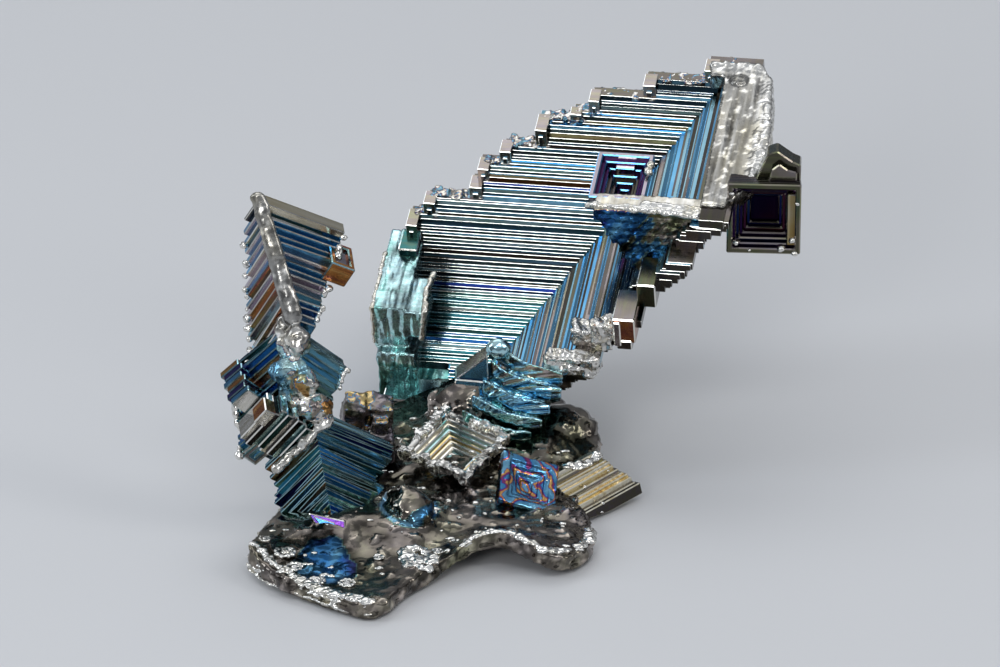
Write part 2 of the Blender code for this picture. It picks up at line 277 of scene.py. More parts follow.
def film_metal(name, axes=None, bars="corner", stretch=(0.06, 3.0, 3.0), drift=0.06,
               streak=0.05, dim=0.3, rough=(0.08, 0.26), own_film=None, grain=0.012):
    """drift and streak are how far the two noises move the film's thickness, dim is how far
    the streaks darken it, rough is the range of its roughness, grain the height of its bump
    in mm. own_film is one thickness for all of it, in place of the faces' own."""
    made = bpy.data.materials.new(name)
    made.use_nodes = True
    tree = made.node_tree
    shader = tree.nodes["Principled BSDF"]
    shader.inputs["Metallic"].default_value = 1.0
    place = crystal_place(tree, axes or Matrix.Identity(4))
    streaks = bar_place(tree, place, bars, stretch)
    slow, fine = noise_of(tree, place, 0.25), noise_of(tree, streaks, 0.9, 2.0)
    film, light = own_film, 1.0
    if own_film is None:
        film = node(tree, "ShaderNodeAttribute", attribute_name="film").outputs["Fac"]
        light = node(tree, "ShaderNodeAttribute", attribute_name="shade").outputs["Fac"]
    film = maths(tree, "MULTIPLY_ADD", maths(tree, "SUBTRACT", slow, 0.5), 3 * drift, film)
    film = maths(tree, "MULTIPLY_ADD", maths(tree, "SUBTRACT", fine, 0.5), 3 * streak, film)
    darker = maths(tree, "SUBTRACT", 1.0 + dim / 2, maths(tree, "MULTIPLY", fine, 2 * dim))
    tint = node(tree, "ShaderNodeVectorMath", operation="SCALE")
    tree.links.new(film_ramp(tree, film), tint.inputs[0])
    tree.links.new(maths(tree, "MULTIPLY", darker, light), tint.inputs["Scale"])
    tree.links.new(tint.outputs[0], shader.inputs["Base Color"])
    patches = noise_of(tree, place, 1.1)
    span = maths(tree, "MULTIPLY_ADD", patches, rough[1] - rough[0], rough[0])
    tree.links.new(span, shader.inputs["Roughness"])
    bump = node(tree, "ShaderNodeBump")
    bump.inputs["Strength"].default_value = 0.5
    bump.inputs["Distance"].default_value = grain * MM
    tree.links.new(noise_of(tree, streaks, 3.0, 3.0), bump.inputs["Height"])
    tree.links.new(bump.outputs[0], shader.inputs["Normal"])
    print("finish:", name)
    return made


# %% [markdown]
# ## How a piece is grown
# Every hopper here is made of slabs: a flat outline drawn up by one step. A helper adds one slab
# to a mesh and writes the film's thickness on its faces, one value for the treads and one for
# the risers. Another helper turns the mesh into an object, cuts a flat facet along its edges
# with a Bevel modifier, because growth leaves narrow facets there and they catch the light,
# parents the object to a root empty and hides the imported solid that it stands for.

# %% A crystal's own axes, and small turns by chance
def axes_at(origin, right, other):
    """X runs along right, and Z is square to right and other."""
    x = Vector(right).normalized()
    z = x.cross(Vector(other)).normalized()
    turn = Matrix((x, z.cross(x), z)).transposed().to_4x4()
    return Matrix.Translation(Vector(origin)) @ turn


def turned(degrees, axis, about=(0, 0, 0)):
    """A turn about an axis through a point."""
    there = Matrix.Translation(Vector(about))
    return there @ Matrix.Rotation(math.radians(degrees), 4, axis) @ there.inverted()


# %% Start a growth, coat it, add a slab or a box to it
def new_growth():
    growth = bmesh.new()
    growth.faces.layers.float.new("film")
    growth.faces.layers.float.new("shade")
    return growth


def coat(growth, faces, film, shade):
    """Writes the thickness of the film, and how bright it is, on some faces."""
    films, shades = growth.faces.layers.float["film"], growth.faces.layers.float["shade"]
    for face in faces:
        face[films] = film
        face[shades] = shade


def add_slab(growth, axes, outline, low, high, tread, riser, shades=(1.0, 1.0)):
    """A flat outline in X and Y drawn up from low to high. tread and riser are film values.
    Returns the top face and the sides, whose first one ends at the outline's first point."""
    bottom, top = (
        [growth.verts.new(axes @ Vector((x, y, z))) for x, y in outline] for z in (low, high)
    )
    flat = [growth.faces.new(top), growth.faces.new(bottom[::-1])]
    coat(growth, flat, tread, shades[0])
    sides = [
        growth.faces.new((bottom[i - 1], bottom[i], top[i], top[i - 1]))
        for i in range(len(outline))
    ]
    coat(growth, sides, riser, shades[1])
    return flat[0], sides


def split_bars(face, one, other):
    """Cuts an L in two bars between two of its corners. The first bar returned is the one that
    holds the corner after one."""
    corners = face.verts[:]
    bmesh.utils.face_split(face, corners[one], corners[other])
    bars = [bar for bar in corners[one].link_faces if corners[other] in bar.verts[:]]
    return sorted(bars, key=lambda bar: corners[one + 1] in bar.verts[:], reverse=True)


def add_box(growth, axes, low, high, tread=SILVER, riser=SILVER, shades=(1.0, 1.0)):
    outline = ((low[0], low[1]), (high[0], low[1]), (high[0], high[1]), (low[0], high[1]))
    add_slab(growth, axes, outline, low[2], high[2], tread, riser, shades)


def add_boxes(growth, axes, *rows):
    """Each row is the low and the high corner of a box, then its looks if it isn't silver."""
    for row in rows:
        add_box(growth, axes, *row)


# %% Finish a growth as a piece of the crystal
GROUND = 0.10  # crisp pieces end this far above the floor, in mm, so that none dips below it
SHARPEST_UNCUT = math.radians(40)
PIECES = []


def make_piece(name, mesh, finishes):
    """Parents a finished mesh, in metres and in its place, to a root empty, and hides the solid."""
    piece = bpy.data.objects.new(name, mesh)
    bpy.context.scene.collection.objects.link(piece)
    for finish in finishes:
        mesh.materials.append(finish)
    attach(piece, "root")
    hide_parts(CRYSTAL)
    PIECES.append(piece)
    print("piece:", name, len(mesh.polygons), "faces")
    return piece


def clip_below_ground(growth):
    bmesh.ops.bisect_plane(
        growth, geom=growth.verts[:] + growth.edges[:] + growth.faces[:],
        plane_co=(0, 0, GROUND), plane_no=(0, 0, 1), clear_inner=True,
    )
    bmesh.ops.holes_fill(growth, edges=[e for e in growth.edges if e.is_boundary])


def finish_growth(growth, name, finish, edge_finish, edge):
    """edge is the width of the facet along the edges, in millimetres."""
    clip_below_ground(growth)
    bmesh.ops.recalc_face_normals(growth, faces=growth.faces)
    bmesh.ops.transform(growth, matrix=PLAN_TO_MODEL, verts=growth.verts)
    mesh = bpy.data.meshes.new(name)
    growth.to_mesh(mesh)
    growth.free()
    piece = make_piece(name, mesh, (finish, edge_finish))
    facets = piece.modifiers.new("facets", "BEVEL")
    facets.width = edge * MM
    facets.segments = 1
    facets.limit_method = "ANGLE"
    facets.angle_limit = SHARPEST_UNCUT
    facets.material = 1
    facets.loop_slide = False


# %% [markdown]
# ## How melt is shaped
# Where the metal stayed liquid for longer it didn't grow steps, but drew together in rounded
# skins. Such a skin is made from rough solids that overlap: a Remesh modifier wraps them all in
# one even surface, a few rounds of smoothing let the surface tension act, and then each point
# moves along its normal by a noise, and gets its film from a rule.

# %% Wrap rough solids in one skin of melt
def wrap(growth, voxel, rounds):
    """The growth's outer surface as an even mesh, still in millimetres."""
    rough = bpy.data.meshes.new("rough")
    bmesh.ops.recalc_face_normals(growth, faces=growth.faces)
    growth.to_mesh(rough)
    growth.free()
    holder = bpy.data.objects.new("rough", rough)
    bpy.context.scene.collection.objects.link(holder)
    skin = holder.modifiers.new("skin", "REMESH")
    skin.mode = "VOXEL"
    skin.voxel_size = voxel
    tension = holder.modifiers.new("tension", "SMOOTH")
    tension.iterations = rounds
    graph = bpy.context.evaluated_depsgraph_get()
    mesh = bpy.data.meshes.new_from_object(holder.evaluated_get(graph))
    bpy.data.objects.remove(holder)
    return mesh


def melt_together(growth, name, finish, voxel, rounds, swell, film_of):
    """swell gives how far a point moves out, and film_of its film and brightness."""
    mesh = wrap(growth, voxel, rounds)
    normals = [vertex.normal.copy() for vertex in mesh.vertices]
    films = mesh.attributes.new("film", "FLOAT", "POINT")
    shades = mesh.attributes.new("shade", "FLOAT", "POINT")
    for vertex, normal in zip(mesh.vertices, normals):
        place = vertex.co.copy()
        film, shade = film_of(place, normal)
        films.data[vertex.index].value = film
        shades.data[vertex.index].value = shade
        moved = place + normal * swell(place, normal)
        moved.z = max(moved.z, 0.0)
        vertex.co = moved
    mesh.transform(PLAN_TO_MODEL)
    mesh.shade_smooth()
    make_piece(name, mesh, (finish,))


# %% Noises that the melt follows
def rough_noise(place, scale, octaves=4):
    return noise.fractal(place * scale, 1.0, 2.0, octaves)


def drawn_noise(place, pulls, octaves):
    """A noise that is drawn out along the axes with a small pull."""
    pulled = Vector([pull * part for pull, part in zip(pulls, place)])
    return noise.fractal(pulled, 1.0, 2.0, octaves)


def bumpy(height, scale):
    """A swell for melt_together that is one plain noise."""
    return lambda place, normal: height * rough_noise(place, scale)


def clamp(share):
    return max(0.0, min(1.0, share))


# %% [markdown]
# ## The leaning blade
# The largest crystal is half of a hopper: an amphitheatre of terraces that climbs to the right,
# to the back and upwards. Every terrace is an L of two bars that meet in a corner, and the
# corners line up in a bright diagonal. An Array modifier would make the steps all alike, but
# real steps are uneven, some broad and some as fine as a hair. So a loop draws their depth and
# height by chance, and lets both catch up with the solid model after every two of its terraces.

# %% The blade's axes and the ends of its bars
BLADE = axes_at((0.0, 16.0, 6.4), (0.983, -0.180, 0.008), (0.169, 0.935, 0.311))
FROM_BLADE = BLADE.inverted()
BLADE_STEP = 0.57
BACK_WALL, RIGHT_WALL = 1.0, 2.1
BLADE_LOWEST, BLADE_HIGHEST = -9, 30
# Each pair is the last terrace of a group and where the group's bars end, in mm from the heart.
LEFT_ENDS = (
    (-4, -5.5), (9, -8.9), (12, -9.8), (14, -8.5), (16, -4.6), (18, -4.0),
    (20, -2.2), (23, 0.8), (24, 3.6), (26, 5.2), (28, 9.8), (30, 15.0),
)
NEAR_ENDS = (
    (-4, -5.0), (3, -6.4), (6, -7.6), (9, -9.0), (12, -9.6), (14, -7.4), (18, -7.6),
    (20, -5.0), (25, -4.8), (30, -2.4),
)
print("the blade climbs", round((BLADE_HIGHEST - BLADE_LOWEST) * BLADE_STEP, 1), "mm")


# %% Films of the blade: bright steps and steps darkened with painted shade take turns
def blade_coats(chance, height, bright):
    """(film, brightness) of a terrace's tread and riser and of its right bar, height 0 to 1."""
    low_down = height < 0.35
    if bright:
        film = chance.choice((PALE_CYAN, CYAN, CYAN) if low_down else
                             (CYAN, CYAN, STEEL_BLUE, STEEL_BLUE))
        tread = film, chance.choice((0.95, 0.75, 0.40))
        right = ((CYAN, 0.55), (STEEL_BLUE, 0.85), (WARM_GREY, 0.6), (STEEL_BLUE, 0.5))
        return tread, (film, 1.0), chance.choice(right)
    # Dark steps: near-black brightness, painted shade for the dark these steps mirror.
    right = chance.choice(((WARM_GREY, 0.10), (WARM_GREY, 0.25), (STEEL_BLUE, 0.25)))
    if low_down:
        return chance.choice(((TEAL, 0.6), (TEAL, 0.3), (ROYAL_BLUE, 0.3))), (TEAL, 0.2), right
    treads = (WARM_GREY, 0.14), (WARM_GREY, 0.10), (BRONZE, 0.18), (DEEP_BLUE, 0.3)
    tread = chance.choice(treads)
    return tread, (tread[0], 0.06), right


blade_film = film_metal("blade film", BLADE, drift=0.04, streak=0.03, dim=0.35)
bright_facet = film_metal("bright facet", BLADE, drift=0.03, streak=0.03, own_film=SILVER,
                          dim=0.05, rough=(0.06, 0.16), grain=0.003)


# %% Terraces of the blade
def end_of(groups, level):
    return next(end for last, end in groups if level <= last)


def uneven_shares(chance, parts, least):
    """Shares of one. least keeps the smallest from vanishing."""
    sizes = [least + chance.random() ** 1.6 for _ in range(parts)]
    return [size / sum(sizes) for size in sizes]


def add_blade_terraces(growth, chance):
    made = 0
    for level in range(BLADE_LOWEST, BLADE_HIGHEST + 1, 2):
        parts = 6 if level < 7 else 5
        depths, rises = uneven_shares(chance, parts, 0.35), uneven_shares(chance, parts, 0.45)
        for part in range(parts):
            corner = (level + 2 * sum(depths[:part])) * BLADE_STEP
            top = (level + 2 * sum(rises[:part + 1])) * BLADE_STEP
            here = level + (1 if part >= parts / 2 else 0)
            left = end_of(LEFT_ENDS, here) + chance.uniform(-0.10, 0.10)
            near = end_of(NEAR_ENDS, here) + chance.uniform(-0.25, 0.15)
            back, right = corner + BACK_WALL, corner + RIGHT_WALL + chance.uniform(-0.05, 0.05)
            outline = (
                (left, corner), (corner, corner), (corner, near), (right, near), (right, back),
                (left, back),
            )
            height = (here - BLADE_LOWEST) / (BLADE_HIGHEST - BLADE_LOWEST)
            tread, riser, right_look = blade_coats(chance, height, made % 2 == 0)
            if part == parts - 1:
                tread = WARM_GREY, 0.35
            if here == BLADE_HIGHEST:
                right_look = WARM_GREY, 0.3
            tilt = turned(chance.uniform(-1.3, 1.3), "X", (corner, corner, top))
            flat, sides = add_slab(growth, BLADE @ tilt, outline, corner - 0.6, top, tread[0],
                                   riser[0], (tread[1], riser[1]))
            right_bar, _ = split_bars(flat, 1, 4)
            coat(growth, [right_bar], *right_look)
            coat(growth, [sides[3]], WARM_GREY, 0.15)
            made += 1
    print("terraces on the blade:", made)


blade = new_growth()
add_blade_terraces(blade, random.Random(11))
finish_growth(blade, "blade_terraces", blade_film, bright_facet, 0.085)

# %% [markdown]
# ### Posts and ragged ledges at the left ends
# Where a group of terraces ends at the left, a short post closes the bars off. The top of each
# group stays open to the air as a narrow ledge, on which the metal froze in a ragged, bright
# row of crumbs. The posts are crisp, so they are boxes, and the ledges are crumbs in one skin.

# %% Posts and ledges
def add_end_posts(posts, crumbs, chance):
    first = LEFT_ENDS[1][0] + 1
    groups = list(LEFT_ENDS[2:]) + [(31, 17.0)]
    for (last, end), (_, following) in zip(groups, groups[1:]):
        low, high = first * BLADE_STEP, (last + 1) * BLADE_STEP
        wide = chance.uniform(0.7, 1.0)
        add_boxes(
            posts, BLADE,
            ((end - 0.2, low - 0.1, low - 0.7), (end + wide, high + 0.4, high + 0.1),
             WARM_GREY, WARM_GREY, (0.8, 0.45)),
            ((end + 0.1, low - 0.25, low), (end + wide - 0.3, high, high - 0.5),
             STEEL_BLUE, WARM_GREY, (0.8, 0.12)),
        )
        x = end + 0.2
        while x < following + 0.8:
            size = chance.uniform(0.25, 0.70)
            lift = 0.28 if last < 26 else 0.0
            y, z = high + chance.uniform(-0.1, 0.5), high + chance.uniform(-0.1, lift)
            add_box(crumbs, BLADE @ turned(chance.uniform(-9, 9), "Z", (x, y, z)),
                    (x, y - 0.3, z - 0.6), (x + size, y + 0.6, z))
            x += size * 0.45
        first = last + 1


def crumb_film(place, normal):
    speck = rough_noise(place, 2.2)
    return (SILVER if speck > -0.05 else CYAN) + 0.03 * speck, 0.75 + 0.6 * speck


rough_silver = film_metal("rough silver", BLADE, drift=0.05, streak=0.04, dim=0.2,
                          rough=(0.14, 0.36), grain=0.02)
posts, crumbs = new_growth(), new_growth()
add_end_posts(posts, crumbs, random.Random(3))
finish_growth(posts, "end_posts", blade_film, bright_facet, 0.10)
melt_together(crumbs, "ragged_ledges", rough_silver, 0.11, 1, bumpy(0.10, 2.0), crumb_film)

# %% [markdown]
# ### The tongue, the column and the ragged ends
# At the top right the terraces run out in a rough silver tongue, and at the left end stands a
# rough column, pale in front and banded like the terraces behind. These were skinned over by
# melt, so they are rough solids wrapped in one skin. Both are streaked along their length: their
# noise has a small pull that way and a strong one across.

# %% The silver tongue
TONGUE = (
    (17.0, -0.8), (19.0, -0.8), (20.3, 1.4), (21.3, 3.8), (21.6, 6.5), (21.4, 9.5), (21.0, 13.4),
    (20.7, 15.6), (19.8, 17.2), (18.4, 17.7), (17.0, 17.2), (16.7, 15.8), (16.9, 10.0),
)


def add_ball(growth, centre, radius, stretch=(1, 1, 1)):
    size = Matrix.Diagonal(Vector(stretch) * radius).to_4x4()
    bmesh.ops.create_icosphere(
        growth, subdivisions=2, radius=1.0, matrix=Matrix.Translation(Vector(centre)) @ size
    )


def tongue_streaks(place):
    x, y, z = FROM_BLADE @ place
    return x, y, drawn_noise((x, y, z), (2.4, 0.15, 1), 3)


def tongue_swell(place, normal):
    x, y, streaks = tongue_streaks(place)
    rim = clamp(max((x - 20.0) / 0.8, (y - 16.2) / 1.0))
    return 0.07 * streaks + 0.18 * rim + (0.03 + 0.14 * rim) * rough_noise(place, 1.8)


def tongue_film(place, normal):
    x, y, streaks = tongue_streaks(place)
    # Sparse bright specks are painted glints.
    painted_glints = max(0.0, rough_noise(place + Vector((5, 0, 0)), 1.4) - 0.22)
    rim = clamp(max((x - 19.8) / 1.0, (y - 15.8) / 1.2))
    return 0.02 * (1 - rim), 0.30 + 0.25 * streaks + 1.8 * painted_glints + 0.6 * rim


tongue = new_growth()
add_slab(tongue, BLADE, TONGUE, 16.2, 17.95, SILVER, SILVER)
add_box(tongue, BLADE, (15.4, 15.7, 16.4), (17.4, 17.3, 18.0))
add_ball(tongue, BLADE @ Vector((18.0, 15.4, 17.8)), 0.9, (1, 1, 0.5))
melt_together(tongue, "silver_tongue", rough_silver, 0.13, 2, tongue_swell, tongue_film)


# %% The left column
def column_swell(place, normal):
    return 0.16 * drawn_noise(FROM_BLADE @ place, (2.2, 0.35, 0.5), 3)


def column_film(place, normal):
    """Pale and streaked in front, teal at the foot, and blue and banded behind."""
    there = FROM_BLADE @ place
    streaks = drawn_noise(there, (1.6, 0.25, 0.4), 4)
    bands = drawn_noise(there, (0.3, 0.3, 3.0), 3)
    mottle = rough_noise(place, 0.9)
    # Faces turned front and down are brighter, 1.25 against 0.80: painted light on their shade.
    painted_light_face = (FROM_BLADE.to_3x3() @ normal).y < -0.5
    film = PALE_CYAN + 0.01 + 0.05 * streaks
    light = (1.25 if painted_light_face else 0.80) + 0.9 * streaks + 0.4 * mottle
    if there.z < 0.4:
        film, light = TEAL - 0.05 + 0.06 * streaks, 1.05 + 0.9 * mottle
    behind = clamp(0.5 + 2.0 * normal.y)
    film += behind * (STEEL_BLUE + 0.02 + 0.08 * bands - film)
    light += behind * (0.42 + 0.35 * bands + 0.15 * mottle - light)
    return film, light


column = new_growth()
add_boxes(
    column, BLADE,
    ((-11.6, -3.1, 1.2), (-8.6, 7.0, 5.7)), ((-8.9, -3.2, 2.6), (-7.2, 1.4, 5.5)),
    ((-11.3, -4.1, -3.6), (-7.9, 5.0, 1.4)), ((-10.6, -5.2, -6.6), (-5.2, 1.6, -3.4)),
    ((-6.0, -6.2, -6.4), (0.5, -1.0, -4.4)), ((-10.6, 4.4, 5.2), (-9.0, 6.4, 6.4)),
)
melt_together(column, "rough_column", rough_silver, 0.15, 2, column_swell, column_film)


# %% The column's bright rim, and two crisp ledges
def add_tube(growth, axes, radius, *points):
    """A rod with round ends along some points."""
    for one, other in zip(points, points[1:]):
        one, other = Vector(one), Vector(other)
        steps = max(2, int((other - one).length / (0.5 * radius)))
        for k in range(steps + 1):
            add_ball(growth, axes @ one.lerp(other, k / steps), radius)


rim = new_growth()
add_tube(rim, BLADE, 0.30,
         (-6.9, 1.4, 5.9), (-7.1, -1.0, 6.0), (-6.9, -3.2, 5.6), (-7.3, -3.4, 2.8))
add_tube(rim, BLADE, 0.22, (-11.6, 4.0, 5.6), (-11.5, -3.0, 5.6), (-11.5, -3.3, 2.0))
melt_together(rim, "column_rim", rough_silver, 0.09, 2, bumpy(0.10, 1.6),
              lambda place, normal: (CREAM - 0.04, 1.05))
ledge = new_growth()
add_boxes(
    ledge, BLADE,
    # The first ledge's pale, bright top is a painted glint.
    ((-10.6, -6.2, -5.2), (-5.8, -3.3, -2.0), PALE_CYAN, TEAL, (0.9, 0.35)),
    ((-10.4, 3.6, 5.6), (-8.7, 6.2, 6.5), TEAL, TEAL, (0.6, 0.3)),
)
finish_growth(ledge, "dark_ledges", blade_film, bright_facet, 0.12)

# %% Ragged silver ends of the near bars
ragged = new_growth()
add_boxes(
    ragged, BLADE, ((4.6, -10.0, 6.0), (9.2, -8.6, 7.7)), ((6.8, -8.0, 7.2), (10.2, -6.4, 9.3)),
    ((8.6, -8.4, 8.6), (11.4, -7.0, 10.4)),
)
melt_together(
    ragged, "ragged_ends", rough_silver, 0.12, 4,
    lambda place, normal: 0.35 * rough_noise(place, 0.9) + 0.12 * rough_noise(place, 2.6),
    lambda place, normal: (SILVER + 0.05 * rough_noise(place, 1.0), 0.9),
)

# %% [markdown]
# ### Blocks and an open box on the right flank
# Under the near end of the terraces a few short blocks stick out, crisp enough to be boxes. A
# small hopper grew above them with its mouth up: square rings that widen as they rise. A ring
# is a loft around four square outlines, closed on itself. Its front rim goes on to the right
# as a thick bar, and the crumpled wall below the bar tapers away in blue and olive.

# %% Short blocks at the right flank
blocks = new_growth()
add_boxes(
    blocks, BLADE,
    ((10.6, -9.4, 9.6), (12.5, -5.6, 12.2), WARM_GREY, BRONZE, (0.5, 0.8)),
    ((10.7, -9.6, 9.3), (11.3, -7.0, 12.0), LILAC_GREY, LILAC_GREY, (0.8, 0.7)),
    ((10.9, -9.5, 8.9), (12.2, -6.0, 9.9), OLIVE, WARM_GREY, (0.3, 0.15)),
    ((12.3, -6.6, 11.2), (13.9, -3.0, 13.7), OLIVE, OLIVE, (0.3, 0.15)),
)
finish_growth(blocks, "flank_blocks", blade_film, bright_facet, 0.10)


# %% Square rings, and the box made of them
def add_square_ring(growth, axes, low, high, wall, film, shade=1.0):
    """A square ring with an open middle, between two corners."""
    (left, near, bottom), (right, far, top) = low, high

    def outline(inset, z):
        corners = (
            (left + inset, near + inset), (right - inset, near + inset),
            (right - inset, far - inset), (left + inset, far - inset),
        )
        return [growth.verts.new(axes @ Vector((x, y, z))) for x, y in corners]

    loops = [outline(0, bottom), outline(0, top), outline(wall, top), outline(wall, bottom)]
    faces = [
        growth.faces.new((one[i], one[(i + 1) % 4], other[(i + 1) % 4], other[i]))
        for one, other in zip(loops, loops[1:] + loops[:1]) for i in range(4)
    ]
    coat(growth, faces, film, shade)


chance = random.Random(8)
dim_facet = film_metal("dim facet", BLADE, own_film=STEEL_BLUE, dim=0.6)
flank_box = new_growth()
for level in range(6):
    grow, top = 0.33 * level, 14.9 + 0.48 * level
    low, high = (9.0 - grow, 1.7 - grow, top - 0.7), (10.5 + grow, 4.2 + grow, top)
    # Rings under the top one are painted dark, 0.16: painted shade inside the hollow box.
    film, shade = (LILAC_GREY, 0.7) if level == 5 else (chance.choice((PURPLE, WARM_GREY)), 0.16)
    add_square_ring(flank_box, BLADE, low, high, 0.45, film, shade)
add_boxes(
    # The block inside has a nearly black top, 0.1: painted shade in the box's hollow.
    flank_box, BLADE, ((9.0, 1.8, 11.6), (10.4, 4.0, 14.7), PURPLE, PURPLE, (0.1, 0.4)),
    ((8.9, 4.6, 14.6), (10.6, 5.6, 16.6), SILVER, SILVER, (0.8, 0.3)),
)
finish_growth(flank_box, "flank_box", blade_film, dim_facet, 0.09)


# %% The tapering wall under the box
def wall_swell(place, normal):
    x, y, z = FROM_BLADE @ place
    folds = noise.fractal(Vector((0.9 * x - 0.9 * z, 0.4 * y, 0.15 * z)), 1.0, 2.0, 2)
    return (0.30 * folds if z < 16.4 else 0.0) + 0.03 * rough_noise(place, 2.0)


def wall_film(place, normal):
    x, y, z = FROM_BLADE @ place
    mottle = noise.fractal(Vector((0.9 * x - 0.6 * z, 0.5 * y, 0.4 * z)), 1.0, 2.0, 4)
    # speck brightens small spots of the blue and olive film: painted glints.
    speck = max(0.0, rough_noise(place, 2.4) - 0.25)
    if z > 16.9 and normal.z > 0.4:
        return SILVER + 0.04, 0.7 + 0.5 * mottle
    if clamp((x - 9.5) / 6.5) > 0.5 + 0.5 * mottle:
        return OLIVE + 0.03 + 0.04 * mottle, 0.28 + 0.3 * mottle + 2 * speck
    vivid = math.exp(-((x - 9.5) ** 2 + (z - 16.0) ** 2) / 2.5)
    return ROYAL_BLUE + 0.10 * mottle, 0.18 + 0.5 * vivid + 0.4 * mottle + 2 * speck


wall = new_growth()
for level in range(8):
    low, left, right = 16.3 - 0.72 * level, 8.0 + 0.52 * level, 18.4 - 0.55 * level
    near = -1.5 - 0.16 * level
    add_box(wall, BLADE, (left, near, low - 0.3), (right, near + 2.2, low + 1.0))
melt_together(wall, "flank_wall", rough_silver, 0.13, 3, wall_swell, wall_film)

# %% The front bar of the box
bar = new_growth()
add_tube(bar, BLADE, 0.34,
         (7.5, -0.9, 17.2), (11.0, -1.1, 17.3), (15.0, -1.4, 17.3), (18.7, -1.5, 17.0))
add_tube(bar, BLADE, 0.42, (12.2, -0.6, 17.3), (18.2, -0.9, 17.2), (19.0, 0.6, 17.4))
for place, radius in (
    ((18.8, -1.5, 16.8), 0.55), ((12.0, 3.2, 17.6), 0.40), ((12.1, 4.0, 17.7), 0.42),
):
    add_ball(bar, BLADE @ Vector(place), radius)
melt_together(bar, "flank_bar", rough_silver, 0.10, 2, bumpy(0.16, 1.3),
              lambda place, normal: (SILVER + 0.06 * abs(rough_noise(place, 0.8)), 1.0))

# %% [markdown]
# ## The tower
# The tower is three small crystals that grew on each other. Their steps overhang: each terrace
# reaches further out than the one below it, so it is the fronts of the bars that show. A loop
# stacks broad bright bars and narrow sunken gaps, painted dark as painted shade, because it is
# the dark gaps that make the steps readable. The foremost and hindmost bars get a few inset
# plates, so that no large flat end is left bare. A striped block and a frame, small crystals of
# their own, grew on the tower's sides.

# %% The tower's tiers
TOP_TIER = axes_at((-18.2, -7.0, 19.4), (0.864, 0.224, -0.451), (0.491, -0.173, 0.854))
MIDDLE_TIER = axes_at((-18.4, -8.8, 12.0), (0.701, 0.262, -0.664), (0.704, -0.107, 0.702))
BOTTOM_TIER = axes_at((-15.2, -11.4, 3.6), (0.790, 0.290, -0.541), (0.602, -0.190, 0.776))
BAR_SHARE, GAP_SHARE = 0.64, 0.36


def add_upturned_steps(growth, axes, levels, step, wall, right_end, reaches, films, sway, chance):
    """Steps that overhang as they rise: one bar runs right and one to the front. reaches is the
    length of the front bars at the bottom and at the top. films is a choice of films for the
    front bars, one for the right bars, whose first two are for the upper half, and one for the
    gaps. sway is how unevenly the bars lie, in degrees. Returns the ends of the bars."""
    depth, start, ends = (levels - 0.5) * step, 0.0, []
    for level in range(2 * levels):
        gap = level % 2 == 1
        share = start / depth
        corner = start + 0.08 * step * sway * chance.uniform(-1, 1)
        reach = reaches[0] * (1 - share) + reaches[1] * share - (0.4 if gap else 0)
        right = right_end + 0.13 * sway * chance.uniform(-1, 1) - (0.4 if gap else 0)
        near = corner - reach + 0.13 * sway * chance.uniform(-1, 1)
        low, high = -corner - step / 2, -corner + 0.8 * step - (0.6 * step if gap else 0)
        outline = (
            (-corner, corner), (-corner, near), (wall - corner, near),
            (wall - corner, corner - wall), (right, corner - wall), (right, corner),
        )
        tilt = turned(sway * chance.uniform(-1, 1), "Z", (-corner, corner, 0))
        # Gaps are painted dark, 0.25: painted shade between the bars.
        light = 0.25 if gap else chance.uniform(0.6, 1.15)
        upper, lower = films[1][:2], films[1][2:]
        film = chance.choice(films[2] if gap else upper if share > 0.5 else lower)
        flat, _ = add_slab(growth, axes @ tilt, outline, low, high, film, film, (light, light))
        front_bar, _ = split_bars(flat, 0, 3)
        coat(growth, [front_bar], chance.choice(films[2 if gap else 0]), light)
        if not gap:
            ends += [axes @ Vector((-corner, near, high)), axes @ Vector((right, corner, high))]
        start += depth * (GAP_SHARE if gap else BAR_SHARE) / levels
    return ends


# %% Inset plates on the foremost and hindmost bars of a tier
def add_end_plates(growth, axes, levels, step, wall, right_end, reaches, plates):
    """slip is how far the bar under the plates lies from the corner, and out is 1 in front."""
    depth = (levels - 0.5) * step
    front, back = (0, reaches[0], 0.8 * step, 1), (depth, reaches[1], -depth - step / 2, -1)
    for slip, reach, top, out in (front, back):
        for plate in range(plates):
            inset = 0.25 + 0.30 * plate
            outer, inner = slip - inset, slip - wall + inset
            near, right = slip - reach + inset, right_end - inset
            outline = (
                (-outer, outer), (-outer, near), (-inner, near), (-inner, inner),
                (right, inner), (right, outer),
            )
            face = top + out * 0.17 * (plate + 1)
            film = (WARM_GREY, STEEL_BLUE, CYAN)[plate % 3]
            add_slab(growth, axes, outline, min(-slip, face), max(-slip, face), film, CYAN,
                     (0.8, 0.8))


# %% Finishes of the tower, and the top tier
tower_film = film_metal("tower film", TOP_TIER, "mirrored corner", drift=0.05, streak=0.04)
tower_facet = film_metal("tower facet", TOP_TIER, "mirrored corner", drift=0.10, streak=0.08,
                         own_film=PALE_CYAN, dim=0.8)
grey_facet = film_metal("grey facet", TOP_TIER, "mirrored corner", drift=0.03, streak=0.03,
                        own_film=SILVER, dim=0.9)
chance = random.Random(5)
lilac_films = (
    (BRONZE, LILAC_GREY, LILAC_GREY, WARM_GREY),
    (LILAC_GREY, STEEL_BLUE, STEEL_BLUE, ROYAL_BLUE, CYAN, LILAC_GREY),
    (DEEP_BLUE, WARM_GREY, WARM_GREY),
)
tower = new_growth()
top_ends = add_upturned_steps(
    tower, TOP_TIER, 15, 0.41, 1.6, 2.0, (7.4, 2.8), lilac_films, 1.5, chance
)
add_boxes(
    tower, TOP_TIER,
    ((-5.95, 5.3, -6.4), (2.1, 6.05, -5.2), CREAM, CREAM, (0.8, 0.7)),
    ((-5.7, 4.75, -6.2), (2.0, 5.2, -4.9), OLIVE, OLIVE, (0.8, 0.7)),
    ((-5.3, 4.3, -5.8), (1.9, 4.65, -4.5), CREAM, CREAM, (0.8, 0.7)),
)
finish_growth(tower, "tower_top", tower_film, grey_facet, 0.08)

